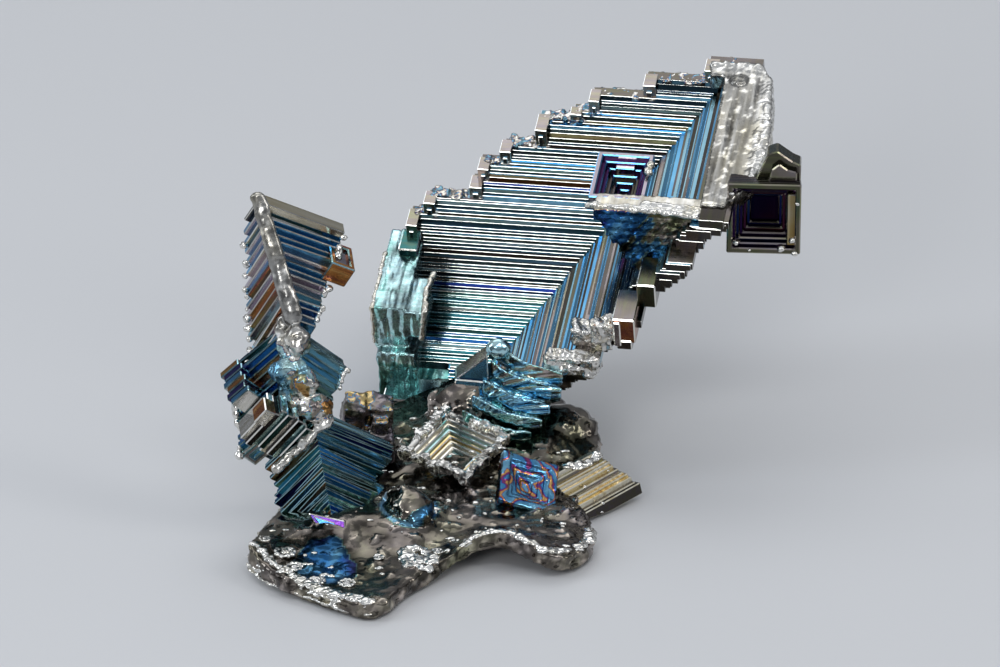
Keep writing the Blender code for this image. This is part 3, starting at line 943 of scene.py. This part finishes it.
# %% The middle tier, with a stepped block in front
blue_films = (
    (BRONZE, LILAC_GREY, SILVER, ROYAL_BLUE), (STEEL_BLUE, CYAN, ROYAL_BLUE, TEAL),
    (DEEP_BLUE, TEAL),
)
BLOCK_LOOKS = (LILAC_GREY, BRONZE, 0.7), (PURPLE, DEEP_BLUE, 0.5), (SILVER, STEEL_BLUE, 0.9)
tower = new_growth()
middle_shape = 11, 0.40, 1.9, 3.0, (6.4, 6.0)
middle_ends = add_upturned_steps(tower, MIDDLE_TIER, *middle_shape, blue_films, 2.5, chance)
add_end_plates(tower, MIDDLE_TIER, *middle_shape, 3)
for level in range(6):
    film, edge_film, shade = BLOCK_LOOKS[level % 3]
    low = Vector((-4.3 + 0.12 * level, -3.6 + 0.25 * (level % 2), -4.4 + 0.62 * level))
    high = low + Vector((2.6 - 0.2 * level, 2.1, 0.66))
    add_box(tower, MIDDLE_TIER, low, high, film, edge_film, (shade, shade))
finish_growth(tower, "tower_middle", tower_film, tower_facet, 0.08)

# %% The bottom tier
teal_films = (
    (BRONZE, STEEL_BLUE, TEAL), (STEEL_BLUE, CYAN, ROYAL_BLUE, CYAN, SEA_GREEN),
    (DEEP_BLUE, TEAL, WARM_GREY),
)
tower = new_growth()
bottom_shape = 20, 0.27, 2.7, 3.4, (5.6, 6.6)
add_upturned_steps(tower, BOTTOM_TIER, *bottom_shape, teal_films, 4.0, chance)
add_end_plates(tower, BOTTOM_TIER, *bottom_shape, 4)
finish_growth(tower, "tower_bottom", tower_film, tower_facet, 0.08)

# %% The striped block, and the plate at the tower's foot, bright with a painted highlight
STRIPES = axes_at((-19.6, -9.7, 10.2), (0.790, 0.290, -0.541), (0.602, -0.190, 0.776))
FOOT = axes_at((-15.4, -12.6, 2.9), (0.93, -0.25, -0.20), (0.25, 0.35, 0.90))
STRIPE_LOOKS = (SILVER, 1.1), (WARM_GREY, 0.08), (PALE_CYAN, 1.0), (TEAL, 0.2)
stripes = new_growth()
for level in range(8):
    left = -2.3 + 0.55 * level
    film, shade = STRIPE_LOOKS[level % 4]
    add_box(stripes, STRIPES, (left, -2.2 + chance.uniform(-0.3, 0.3), -1.8),
            (left + 0.62, 2.1 + chance.uniform(-0.3, 0.3), 0.15 + 0.30 * (level % 2)), film, film,
            (shade, shade))
add_box(stripes, STRIPES, (-2.7, 0.3, -1.0), (-1.6, 2.0, 0.6), SILVER, BRONZE)
# The foot plates carry purple and blue film; their brightness, up to 1.3, is a painted highlight.
for outline, low, high, tread, riser, shade in (
    (((-1.9, 0.6), (-0.6, -0.5), (1.9, -0.9), (1.2, 0.9)), -0.8, 0.2, PURPLE, STRAW, 1.0),
    (((-1.5, 0.5), (-0.5, -0.2), (0.9, -0.4), (0.5, 0.5)), -0.4, 0.28, ROYAL_BLUE, CYAN, 1.3),
):
    add_slab(stripes, FOOT, outline, low, high, tread, riser, (shade, 0.8))
finish_growth(stripes, "striped_block", tower_film, bright_facet, 0.09)

# %% The framed block at the tower's right
frame_block = new_growth()
add_square_ring(frame_block, TOP_TIER @ turned(90, "X"), (1.4, -5.6, -4.6), (3.6, -2.6, -2.6),
                0.45, BRONZE)
add_box(frame_block, TOP_TIER, (1.7, 2.9, -5.3), (3.4, 4.3, -2.9), PURPLE, LILAC_GREY, (0.6, 0.5))
finish_growth(frame_block, "framed_block", tower_film, tower_facet, 0.10)


# %% [markdown]
# ### The ridge and the droplets of the tower
# Where the two bars of each step meet, melt filled the corner with a smooth silver band, which
# swells into blue and bronze knobs lower down. It is a chain of balls in one skin. Where the
# front bars end, the last drops of metal hung on as beads, one at almost every bar: they take
# the ends that the steps gave back.

# %% The film of the ridge, from its silver top to its knobs
def ridge_film(place, normal):
    if place.z < 11.5 and place.y < -9.3:
        return SILVER, 0.9 + 0.3 * rough_noise(place, 0.8)
    mottle, blue = rough_noise(place, 0.5), rough_noise(place + Vector((7, 0, 0)), 0.35)
    if place.z < 17.0 and blue > -0.05:
        return STEEL_BLUE + 0.12 + 0.12 * mottle, 0.8 + 0.4 * mottle
    # Bright spots in the film are painted highlights.
    painted_highlights = max(0.0, rough_noise(place, 1.3) - 0.2)
    if place.z > 18.0:
        return SILVER + 0.02 * mottle, 0.45 + 0.25 * mottle + 1.5 * painted_highlights
    if blue < -0.35:
        return BRONZE - 0.03, 0.6
    return (SILVER if mottle > 0 else WARM_GREY) + 0.02 * mottle, 0.7 + 0.4 * mottle + 2 * painted_highlights


satin_melt = film_metal("satin melt", None, "ring", stretch=(1, 1, 1), drift=0.05, streak=0.04,
                        dim=0.3, rough=(0.16, 0.38), grain=0.02)


# %% The ridge of the tower
def add_ridge(growth, axes, levels, step, radii, chance, balls=40):
    drop = (levels - 0.5) * step
    for k in range(balls + 1):
        share = k / balls
        point = axes @ Vector((-drop * share, drop * share, 0.45 * step - drop * share))
        radius = radii[0] * (1 - share) + radii[1] * share
        add_ball(growth, point, radius * chance.uniform(0.96, 1.04), (1.25, 0.7, 1.0))


chance = random.Random(21)
ridge = new_growth()
add_ridge(ridge, TOP_TIER, 15, 0.41, (0.72, 0.58), chance)
add_ridge(ridge, MIDDLE_TIER, 11, 0.40, (0.75, 0.70), chance)
add_tube(ridge, Matrix.Identity(4), 0.46,
         (-15.4, -9.6, 11.3), (-17.4, -9.9, 9.3), (-19.7, -10.3, 7.0))
for centre, radii in (
    ((-17.9, -8.0, 17.6), (1.1, 1.0, 1.5)), ((-18.6, -8.5, 15.2), (1.7, 1.1, 1.3)),
    ((-17.4, -8.8, 14.2), (1.3, 1.1, 1.3)), ((-16.6, -9.0, 12.0), (1.7, 1.4, 1.3)),
):
    add_ball(ridge, centre, 1.0, radii)
melt_together(
    ridge, "tower_ridge", satin_melt, 0.13, 12,
    lambda place, normal: (0.30 if place.z < 18.5 else 0.10) * rough_noise(place, 0.9), ridge_film,
)

# %% Beads at the ends of the tower's bars
beads = new_growth()
for number, place in enumerate(top_ends + middle_ends):
    if chance.random() < (0.5 if number % 2 else 0.8):
        size = chance.uniform(0.22, 0.42)
        add_ball(beads, place, size, [chance.uniform(0.8, 1.3) for _ in range(3)])
print("beads on the tower:", len(beads.verts) // 42)

# %% [markdown]
# ## The small hoppers
# Two little hoppers lie on the crust with their mouths up. The left one is still silver and
# gold: nested rings over a floor, and a ragged rim. The right one is a shallow dish with
# contour lines of colour. There the film's thickness follows the depth of the bowl, and where
# it crosses a few values it turns orange for a hair's breadth. The dark cube at the far right
# opens towards the front, and its steps inside are painted almost black: painted shade in
# its hollow.

# %% Points along a line
def along(line, steps):
    """Evenly spaced points on each stretch of a line."""
    for one, other in zip(line, line[1:]):
        for k in range(steps):
            yield [a + (b - a) * k / steps for a, b in zip(one, other)]


# %% The silver hopper and its ragged rim
SILVER_HOPPER = axes_at((-5.0, -0.6, 4.7), (0.836, -0.528, -0.145), (0.548, 0.805, 0.222))
silver_film = film_metal("silver film", SILVER_HOPPER, "ring", drift=0.05, streak=0.04)
silver_facet = film_metal("silver facet", SILVER_HOPPER, "ring", own_film=SILVER, dim=0.05)
chance = random.Random(2)
hopper, rim = new_growth(), new_growth()
for level in range(9):
    outer, top, slip = 3.2 - 0.29 * level, -0.24 * level, 0.05 * level
    film = chance.choice((SILVER, CREAM, STRAW, CREAM, SILVER, PALE_CYAN))
    add_square_ring(hopper, SILVER_HOPPER, (slip - outer, -outer - slip, top - 0.5),
                    (slip + outer, outer - slip, top), 0.45, film, chance.choice((0.6, 0.9, 1.1)))
add_box(hopper, SILVER_HOPPER, (-0.5, -1.6, -2.6), (1.4, 0.4, -2.0), SEA_GREEN, STEEL_BLUE)
finish_growth(hopper, "silver_hopper", silver_film, silver_facet, 0.08)
for x, y in along(((-3.1, -3.1), (3.1, -3.1), (3.1, 3.1), (-3.1, 3.1), (-3.1, -3.1)), 12):
    place = x, y, chance.uniform(-0.5, 0.25)
    tilt = turned(chance.uniform(-14, 14), "Z", place)
    size = chance.uniform(0.26, 0.46)
    add_box(rim, SILVER_HOPPER @ tilt, [c - size for c in place], [c + size for c in place])
melt_together(rim, "ragged_rim", rough_silver, 0.11, 2, bumpy(0.14, 1.7),
              lambda place, normal: (SILVER, 0.7 + 0.8 * rough_noise(place, 1.4)))

# %% The dish with contour lines
DISH_HOPPER = axes_at((1.2, -5.8, 3.6), (0.924, 0.120, -0.364), (0.086, 0.860, 0.503))
FROM_DISH = DISH_HOPPER.inverted()
CONTOUR = 0.46


def dish_film(place, normal):
    x, y, z = FROM_DISH @ place
    bowl = 0.42 * max(abs(x + 0.1), abs(y - 0.2)) + 0.8 * rough_noise(place, 0.34, 3)
    band = (bowl / CONTOUR) % 1.0
    if band < 0.20:
        return BRONZE - 0.03, 1.0
    if band < 0.34:
        return WINE + 0.02, 0.9
    return STEEL_BLUE - 0.04 + 0.14 * (band - 0.34), 0.85


dish_metal = film_metal("dish metal", DISH_HOPPER, "ring", stretch=(1, 1, 1), drift=0.02,
                        streak=0.01, dim=0.1, rough=(0.10, 0.25), grain=0.004)
dish = new_growth()
for level in range(4):
    outer, top = 2.5 - 0.42 * level, -0.22 * level
    add_square_ring(dish, DISH_HOPPER, (-outer, -outer, top - 0.7), (outer, outer, top), 0.7,
                    SILVER)
add_box(dish, DISH_HOPPER, (-2.3, -2.3, -1.7), (2.3, 2.3, -0.9))
melt_together(dish, "contoured_dish", dish_metal, 0.10, 4, bumpy(0.10, 0.7), dish_film)

# %% The dark cube
CUBE = axes_at((20.85, 7.0, 21.9), (0.998, -0.060, 0.0), (0.020, 0.067, 0.998))
cube_film = film_metal("cube film", CUBE, "ring", drift=0.08, streak=0.03, dim=0.5)
cube_facet = film_metal("cube facet", CUBE, "ring", own_film=WARM_GREY, dim=0.9)
chance = random.Random(4)
cube = new_growth()
for level in range(6):
    outer, top, inset = 3.1 - 0.03 * level, -0.50 * level, 0.50 + 0.26 * level
    # Rings under the rim are painted dark, 0.13: painted shade inside the cube.
    film, shade = (OLIVE, 0.35) if level == 0 else (chance.choice((PURPLE, DEEP_BLUE, WINE)), 0.13)
    low, high = (-outer, -outer, top - 0.6), (outer, outer, top)
    add_square_ring(cube, CUBE, low, high, inset, film, shade)
add_boxes(
    cube, CUBE,
    # The cube's floor is painted nearly black, 0.03: painted shade where it would mirror the room.
    ((-2.9, -2.9, -4.6), (2.9, 2.9, -2.9), PURPLE, OLIVE, (0.03, 0.25)),
    ((1.9, -2.4, -1.6), (2.9, 2.2, -0.15), STRAW, BRONZE, (0.45, 0.4)),
    ((-3.1, 0.4, -4.6), (1.0, 3.0, -3.1), WARM_GREY, WARM_GREY, (0.15, 0.15)),
)
for outline, low, high, shade in (
    (((-0.8, 2.9), (3.0, 2.9), (3.0, 4.3), (2.3, 4.6), (1.0, 5.5), (0.2, 5.2)), -3.9, -1.6, 0.3),
    (((0.3, 2.9), (2.7, 2.9), (2.7, 3.9), (1.9, 4.1), (1.2, 4.6), (0.6, 4.1)), -1.7, -0.9, 0.5),
):
    add_slab(cube, CUBE, outline, low, high, WARM_GREY, OLIVE, (shade, 0.7 * shade))
finish_growth(cube, "dark_cube", cube_film, cube_facet, 0.11)

# %% [markdown]
# ## The folded fan
# In front of the blade's corner the crystal folded over into a few thick ribbons that sweep
# down to the right from one round head. Each ribbon is a closed loft along a smooth curve. In
# one skin of melt they run into each other, and a noise drawn out along them adds the ribs.

# %% Curves of the fan
FAN_RIBBONS = (
    ((-1.5, 4.3, 11.2), (-0.5, 3.8, 10.5), (0.8, 3.3, 9.8), (2.4, 3.0, 9.4), (4.0, 2.9, 9.1)),
    ((-2.0, 3.6, 9.8), (-0.7, 3.0, 9.0), (0.8, 2.6, 8.6), (2.6, 2.2, 8.2), (3.9, 2.1, 8.1)),
    ((-2.7, 2.9, 8.4), (-1.4, 2.4, 7.8), (-0.2, 2.0, 7.3), (1.4, 1.7, 7.0), (2.9, 1.5, 6.9)),
    ((-3.6, 2.6, 7.2), (-2.3, 2.1, 6.7), (-1.0, 1.6, 6.2), (0.7, 1.2, 5.9), (2.3, 1.0, 5.8)),
    ((-4.4, 2.2, 6.0), (-3.1, 1.7, 5.5), (-1.8, 1.2, 5.1), (-0.2, 0.8, 4.8), (1.4, 0.7, 4.8)),
)
# The body that the ribbons grew on, behind them.
FAN_BODY = ((-3.0, 4.4, 8.2), (-1.6, 4.0, 7.6), (-0.2, 3.8, 7.2), (1.2, 3.6, 6.9), (2.2, 3.5, 6.7))


def smooth_line(points, between):
    """More points on a smooth curve through the given ones."""
    ends = [Vector(points[0]), *map(Vector, points), Vector(points[-1])]
    made = []
    for before, one, other, after in zip(ends, ends[1:], ends[2:], ends[3:]):
        for step in range(between):
            t = step / between
            bend = (2 * before - 5 * one + 4 * other - after) * t**2
            end = (3 * one - before - 3 * other + after) * t**3
            made.append(0.5 * (2 * one + (other - before) * t + bend + end))
    return made + [ends[-1]]


def add_ribbon(growth, points, half, depth):
    """A leaning band, half its height to each side of the curve, that narrows at its far end."""
    smooth = smooth_line(points, 5)
    loops = []
    for number, (x, y, z) in enumerate(smooth):
        taper = 1 - 0.45 * (number / (len(smooth) - 1)) ** 8
        low, high, far = -half * taper, half * taper, depth * taper
        corners = ((0, low), (far, 1.6 * low - 0.5 * far), (far, high - 0.5 * far), (0, high))
        loops.append([growth.verts.new((x, y + out, z + up)) for out, up in corners])
    for one, other in zip(loops, loops[1:]):
        for i in range(4):
            growth.faces.new((one[i - 1], one[i], other[i], other[i - 1]))
    growth.faces.new(loops[0])
    growth.faces.new(loops[-1][::-1])


# %% Ribs and film of the fan
def fan_ribs(place, pull, octaves):
    """The ribs drop towards the right as the ribbons do."""
    slope = place.z + 1.4 * math.exp(-(place.x + 1.5) / 2.0)
    return drawn_noise((place.x, place.y, slope), (0.12, pull, 2.0), octaves)


def fan_swell(place, normal):
    calm = clamp((10.6 - place.z) / 2.0)
    return calm * (0.13 * fan_ribs(place, 0.5, 2) + 0.05 * rough_noise(place, 0.8))


def fan_film(place, normal):
    ribs = fan_ribs(place, 1.2, 4)
    if normal.z > 0.45 or place.z > 10.4:
        return PALE_CYAN - 0.03 + 0.05 * ribs, 1.05
    if place.z > 8.0 and ribs > 0.12:
        return WARM_GREY + 0.02 * ribs, 0.8
    if place.z < 6.4:
        return SEA_GREEN + 0.10 * ribs, 0.9 + 0.4 * ribs
    return STEEL_BLUE + 0.06 + 0.10 * ribs, 1.0 + 0.3 * ribs


fan_metal = film_metal("fan metal", None, "ring", stretch=(1, 1, 1), drift=0.05, streak=0.03,
                       dim=0.2, rough=(0.08, 0.24), grain=0.01)

# %% The fan, and the flat facet beside its head
UPRIGHT = Matrix(((1, 0, 0, 0), (0, 0, 1, 0), (0, 1, 0, 0), (0, 0, 0, 1)))
fan = new_growth()
for number, points in enumerate(FAN_RIBBONS):
    add_ribbon(fan, points, 0.68 if number < 3 else 0.52, 3.2)
add_ribbon(fan, FAN_BODY, 2.1, 2.2)
add_ball(fan, (-1.4, 4.0, 11.3), 1.0, (1.1, 0.9, 1.0))
melt_together(fan, "folded_fan", fan_metal, 0.11, 3, fan_swell, fan_film)
facet = new_growth()
add_slab(facet, UPRIGHT, ((-2.3, 11.0), (-2.2, 8.6), (-5.0, 8.9)), 3.2, 5.5, STEEL_BLUE, WARM_GREY,
         (0.5, 0.5))
add_slab(facet, UPRIGHT, ((-2.0, 8.7), (-2.2, 8.2), (-5.1, 8.5), (-5.0, 9.0)), 2.9, 5.5,
         STEEL_BLUE, STEEL_BLUE, (0.8, 0.6))
finish_growth(facet, "fan_facet", blade_film, bright_facet, 0.10)

# %% [markdown]
# ## The crust
# Everything stands on a crust of once molten metal. Its outline is drawn through a few points
# as a smooth closed curve, and its rings shrink towards the middle while the height follows a
# few soft mounds. Rounded lumps are wrapped in the same skin, as the melt did. Its film is thick
# and grey, with one blue pool, a blue ring round a lump, and bright crumbs along its edge. The
# crumbs are real bumps; their brightness, strongest on the steep sides, is partly painted glints.

# %% The crust's outline, heaps and hollows
CRUST_CENTRE = (-6.0, -1.0)
CRUST_THICKNESS = 1.5
CRUST_OUTLINE = (
    (-11.9, -24.0), (-10.2, -22.6), (-9.0, -20.2), (-6.6, -17.6), (-3.8, -15.6), (-1.6, -14.6),
    (0.6, -15.2), (2.9, -16.3), (5.2, -15.0), (6.6, -12.2), (6.0, -9.0), (5.4, -5.0),
    (6.6, 0.5), (7.2, 5.0), (6.0, 10.0), (2.4, 15.0), (-2.6, 18.6), (-8.0, 19.0),
    (-12.5, 15.0), (-14.5, 9.0), (-16.0, 3.0), (-18.0, -2.5), (-19.6, -8.0), (-21.2, -12.6),
    (-22.0, -15.8), (-20.2, -18.4), (-17.0, -20.8), (-14.6, -22.6),
)
# Each heap or hollow: place, spread and height. The crust lifts off the floor at a hollow.
CRUST_HEAPS = (
    ((-15.5, -10.0), 3.6, 2.2), ((-4.5, 2.0), 5.5, 1.6), ((-3.5, 12.0), 5.5, 1.6),
    ((3.0, 4.5), 3.4, 2.4), ((-8.6, -9.0), 2.4, 1.3), ((0.5, -8.0), 3.6, 0.6),
)
CRUST_HOLLOWS = (((-1.4, -15.6), 2.8, 2.0), ((-22.0, -14.0), 2.8, 1.3), ((7.2, -7.0), 2.0, 0.8))
# Rounded lumps of melt: centre, radii and turn about the upright in degrees.
MELT_LUMPS = (
    ((-8.8, -9.2, 2.8), (1.8, 2.9, 1.9), 35), ((-12.6, -12.9, 0.9), (2.6, 2.2, 1.6), -20),
    ((3.8, 5.2, 3.0), (3.2, 2.8, 2.2), 15), ((-3.2, 8.6, 3.4), (4.2, 3.2, 3.0), 0),
)


def mound(x, y, places):
    return sum(
        height * math.exp(-((x - place[0]) ** 2 + (y - place[1]) ** 2) / (2 * spread**2))
        for place, spread, height in places
    )


def smooth_outline(points, between):
    """More points on a smooth closed curve: the line runs past its start, and is cut to it."""
    closed = list(points[-1:]) + list(points) + list(points[:2])
    return smooth_line(closed, between)[between:-between - 1]


# %% The crust as one closed loft
def add_crust(growth, rings=24):
    outline, centre = smooth_outline(CRUST_OUTLINE, 4), Vector(CRUST_CENTRE)

    def ring(share, under):
        made = []
        for corner in outline:
            x, y = centre.lerp(corner, share)
            lift = mound(x, y, CRUST_HOLLOWS)
            lift = lift if lift > 0.05 else 0.0
            top = max(lift, mound(x, y, CRUST_HEAPS)) + CRUST_THICKNESS
            made.append(growth.verts.new((x, y, lift if under else top)))
        return made

    shares = [0.99 * (k + 1) / rings for k in range(rings)]
    loops = [ring(share, False) for share in shares] + [ring(share, True) for share in shares[::-1]]
    for inner, outer in zip(loops, loops[1:]):
        for i in range(len(inner)):
            j = (i + 1) % len(inner)
            growth.faces.new((inner[i], outer[i], outer[j], inner[j]))
    growth.faces.new(loops[0])
    growth.faces.new(loops[-1][::-1])


# %% Waves, crumbs and film of the crust
def crust_crumbs(place):
    return max(0.0, rough_noise(place + Vector((3, 9, 0)), 0.9, 5) - 0.25)


def crust_swell(place, normal):
    if place.z < 0.35 and normal.z < 0.3:
        return 0.0
    waves = 0.26 * rough_noise(place, 0.22, 3) + 0.05 * rough_noise(place, 1.1)
    waves += 0.40 * (1 - abs(normal.z)) * rough_noise(place, 0.8)
    return waves + 0.35 * crust_crumbs(place) - 0.05


def crust_film(place, normal):
    mottle, warm = rough_noise(place, 0.22), rough_noise(place + Vector((4, 4, 4)), 0.5)
    pool = math.exp(-((place.x + 15.0) ** 2 + (place.y + 18.0) ** 2) / 9) + 0.35 * mottle
    lobe = ((place.x + 8.8) / 2.3) ** 2 + ((place.y + 9.2) / 2.6) ** 2
    if pool > 0.45 and place.z > 1.0:
        return ROYAL_BLUE + 0.14 * warm, min(0.75, 0.08 + 1.4 * (pool - 0.45))
    if 0.75 < lobe < 1.20:
        return STEEL_BLUE + 0.10 * warm, 0.05 + 0.6 * math.sin(math.pi * (lobe - 0.75) / 0.45)
    # Crumbs and steep sides are brightened: painted glints on crumbs that are also real bumps.
    crumbs = crust_crumbs(place) + max(0.0, rough_noise(place, 1.2)) * (1 - abs(normal.z))
    dark = min(1.0, 0.25 + 3 * abs(0.45 - pool), 0.25 + 3 * abs(lobe - 0.98))
    return 0.946 + 0.02 * mottle, dark * (0.32 + 0.30 * warm) + 1.6 * crumbs


# %% The crust
melt_film = film_metal("melt film", None, "ring", stretch=(1, 1, 1), drift=0.012, streak=0.01,
                       dim=0.2, rough=(0.05, 0.22), grain=0.015)
crust = new_growth()
add_crust(crust)
for centre, radii, turn in MELT_LUMPS:
    there = turned(turn, "Z", centre)
    size = Matrix.Translation(Vector(centre)) @ Matrix.Diagonal(Vector(radii)).to_4x4()
    bmesh.ops.create_icosphere(crust, subdivisions=3, radius=1.0, matrix=there @ size)
melt_together(crust, "melt_crust", melt_film, 0.20, 2, crust_swell, crust_film)

# %% [markdown]
# ### Low ridges and a worn plate
# At the right a low crystal lies on the crust, a row of golden ridges side by side, so it is
# boxes that step up. Between the tower and the blade stands a worn plate, whose boxes are
# rounded in one skin, with gold on what looks up.

# %% Ridges at the right
RIGHT_CLUSTER = axes_at((6.4, -2.6, 1.6), (0.742, 0.658, 0.130), (-0.640, 0.745, -0.190))
chance = random.Random(12)
ridges = new_growth()
for level in range(11):
    left, right = -2.6 - 0.08 * level, 3.7 - 0.16 * level + chance.uniform(-0.15, 0.15)
    near, top = -1.9 + 0.28 * level, -0.9 + 0.30 * level + chance.uniform(-0.12, 0.12)
    film, shade = chance.choice(((STRAW, 0.9), (WARM_GREY, 0.5), (WARM_GREY, 0.15), (CREAM, 0.8)))
    add_box(ridges, RIGHT_CLUSTER, (left, near, -1.9), (right, near + 0.7, top), film, film,
            (shade, shade))
ridge_metal = film_metal("ridge metal", RIGHT_CLUSTER, drift=0.05)
ridge_facet = film_metal("ridge facet", RIGHT_CLUSTER, own_film=CREAM, dim=0.3)
finish_growth(ridges, "low_ridges", ridge_metal, ridge_facet, 0.12)

# %% The plate between the tower and the blade
BACK_PLATE = axes_at((-10.6, 2.6, 4.6), (0.990, 0.060, -0.120), (-0.040, 0.970, 0.240))


def plate_film(place, normal):
    mottle, gold = rough_noise(place, 0.5), rough_noise(place + Vector((2, 0, 5)), 0.7)
    if normal.z > 0.35 and gold > 0.0 and place.z > 4.5:
        return STRAW + 0.05 * gold, 0.9
    return LILAC_GREY - 0.10 * abs(mottle), 0.40 + 0.4 * mottle


plate = new_growth()
add_boxes(
    plate, BACK_PLATE, ((-4.2, -3.0, -1.4), (0.4, 1.0, -0.2)), ((-3.4, 0.2, -3.4), (0.2, 2.6, 1.7)),
    ((-4.0, -0.4, -1.0), (-2.2, 2.2, 1.9)), ((-1.6, -0.8, -1.0), (-0.2, 1.4, 1.1)),
)
melt_together(plate, "back_plate", satin_melt, 0.15, 2, bumpy(0.30, 0.6), plate_film)

# %% [markdown]
# ## Beads, rings and bright splashes
# Drops that fell on the crust froze as beads, some with a burst bubble's ring round them, and
# a row of them hangs along the rim. To set a drop on the surface, a ray is cast straight down
# on the pieces made so far, and the drop sits where it lands.

# %% Find the surface under a place
ABOVE_ALL = 60
surfaces = [
    BVHTree.FromPolygons([tuple(vertex.co) for vertex in piece.data.vertices],
                         [tuple(face.vertices) for face in piece.data.polygons])
    for piece in PIECES
]
FROM_MODEL = PLAN_TO_MODEL.inverted()


def on_top(x, y):
    """The highest point of the crystal over a place in the plan, in millimetres."""
    start = PLAN_TO_MODEL @ Vector((x, y, ABOVE_ALL))
    hits = [surface.ray_cast(start, Vector((0, 0, -1)))[0] for surface in surfaces]
    hits = [FROM_MODEL @ hit for hit in hits if hit]
    return max(hits, key=lambda hit: hit.z) if hits else None


print("surfaces to set drops on:", len(surfaces))

# %% Knobs on the dark cube, and rings on the crust
CUBE_KNOBS = (
    (-2.3, -2.1, 0.34), (1.5, -2.6, 0.42), (2.4, -1.9, 0.36), (2.6, -3.0, 0.30),
    (-2.7, 2.2, 0.30), (-1.2, -2.8, 0.26), (2.8, 1.4, 0.28),
)
RING_DROPS = (
    (-18.9, -15.8, 0.75), (-18.1, -17.8, 0.60), (-16.25, -19.7, 0.60), (-13.75, -19.7, 0.60),
    (-11.2, -16.0, 0.40), (-6.4, -14.6, 0.45), (-20.6, -14.2, 0.40),
)


def add_ring_drop(growth, centre, radius, balls=10):
    for k in range(balls):
        turn = 2 * math.pi * k / balls
        add_ball(growth, centre + Vector((radius * math.cos(turn), radius * math.sin(turn), 0.05)),
                 0.36 * radius, (1, 1, 0.8))
    add_ball(growth, centre, 0.5 * radius, (1, 1, 0.9))


for x, y, size in CUBE_KNOBS:
    add_ball(beads, CUBE @ Vector((x, y, -0.15)), size, (1, 1.2, 0.8))
for x, y, radius in RING_DROPS:
    add_ring_drop(beads, on_top(x, y), radius)
print("rings on the crust:", len(RING_DROPS))

# %% Beads along the rim, splashes and strewn drops
RIM_BEADS = ((-21.9, -15.6), (-20.2, -18.2), (-17.0, -20.7), (-14.6, -22.5), (-11.9, -23.8))
SPLASHES = (
    ((-9.2, -15.2), (-7.9, -15.8), (-6.6, -17.2)), ((-9.2, -15.2), (-8.7, -17.2), (-7.0, -18.0)),
    ((-9.3, -15.0), (-8.0, -14.2), (-7.2, -14.6), (-6.5, -17.0)), ((-8.6, -15.6), (-7.6, -16.8)),
    ((-4.4, -15.0), (-3.0, -14.2), (-1.4, -13.8), (0.0, -14.2)),
    ((0.4, -14.9), (2.4, -15.6), (4.6, -14.6)), ((5.2, -13.6), (6.2, -12.2), (6.2, -10.4)),
    ((4.2, -2.4), (6.0, -1.6), (7.4, 0.2)),
)
STREWN_DROPS = 220
chance = random.Random(31)
for x, y in along(RIM_BEADS, 8):
    place = on_top(x + 0.35 + chance.uniform(0, 0.2), y + 0.45 + chance.uniform(0, 0.2))
    if place:
        add_ball(beads, place, chance.uniform(0.20, 0.42), (1.3, 1, 0.8))
    for height in (0.45, 1.0, 1.45):
        add_ball(beads, (x + 0.2, y + 0.3, height + chance.uniform(-0.1, 0.1)),
                 chance.uniform(0.16, 0.30), (2.4, 1.4, 0.7))
for line in SPLASHES:
    for x, y in along(line, 7):
        place = on_top(x + chance.uniform(-0.15, 0.15), y + chance.uniform(-0.15, 0.15))
        if place:
            add_ball(beads, place, chance.uniform(0.22, 0.48), (1.3, 1.1, 0.7))
for _ in range(STREWN_DROPS):
    place = on_top(chance.uniform(-21, 8), chance.uniform(-22, 8))
    if place and place.z < 6:
        add_ball(beads, place, chance.uniform(0.10, 0.24), (chance.uniform(0.8, 2.4), 1, 0.7))
melt_together(beads, "beads", melt_film, 0.09, 1, bumpy(0.10, 1.5),
              lambda place, normal: (SILVER + 0.04 * rough_noise(place, 0.6), 1.0))

# %% Sizes, and the end
low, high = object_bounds()
print("visual model, in mm:", [round(1000 * side, 1) for side in high - low])
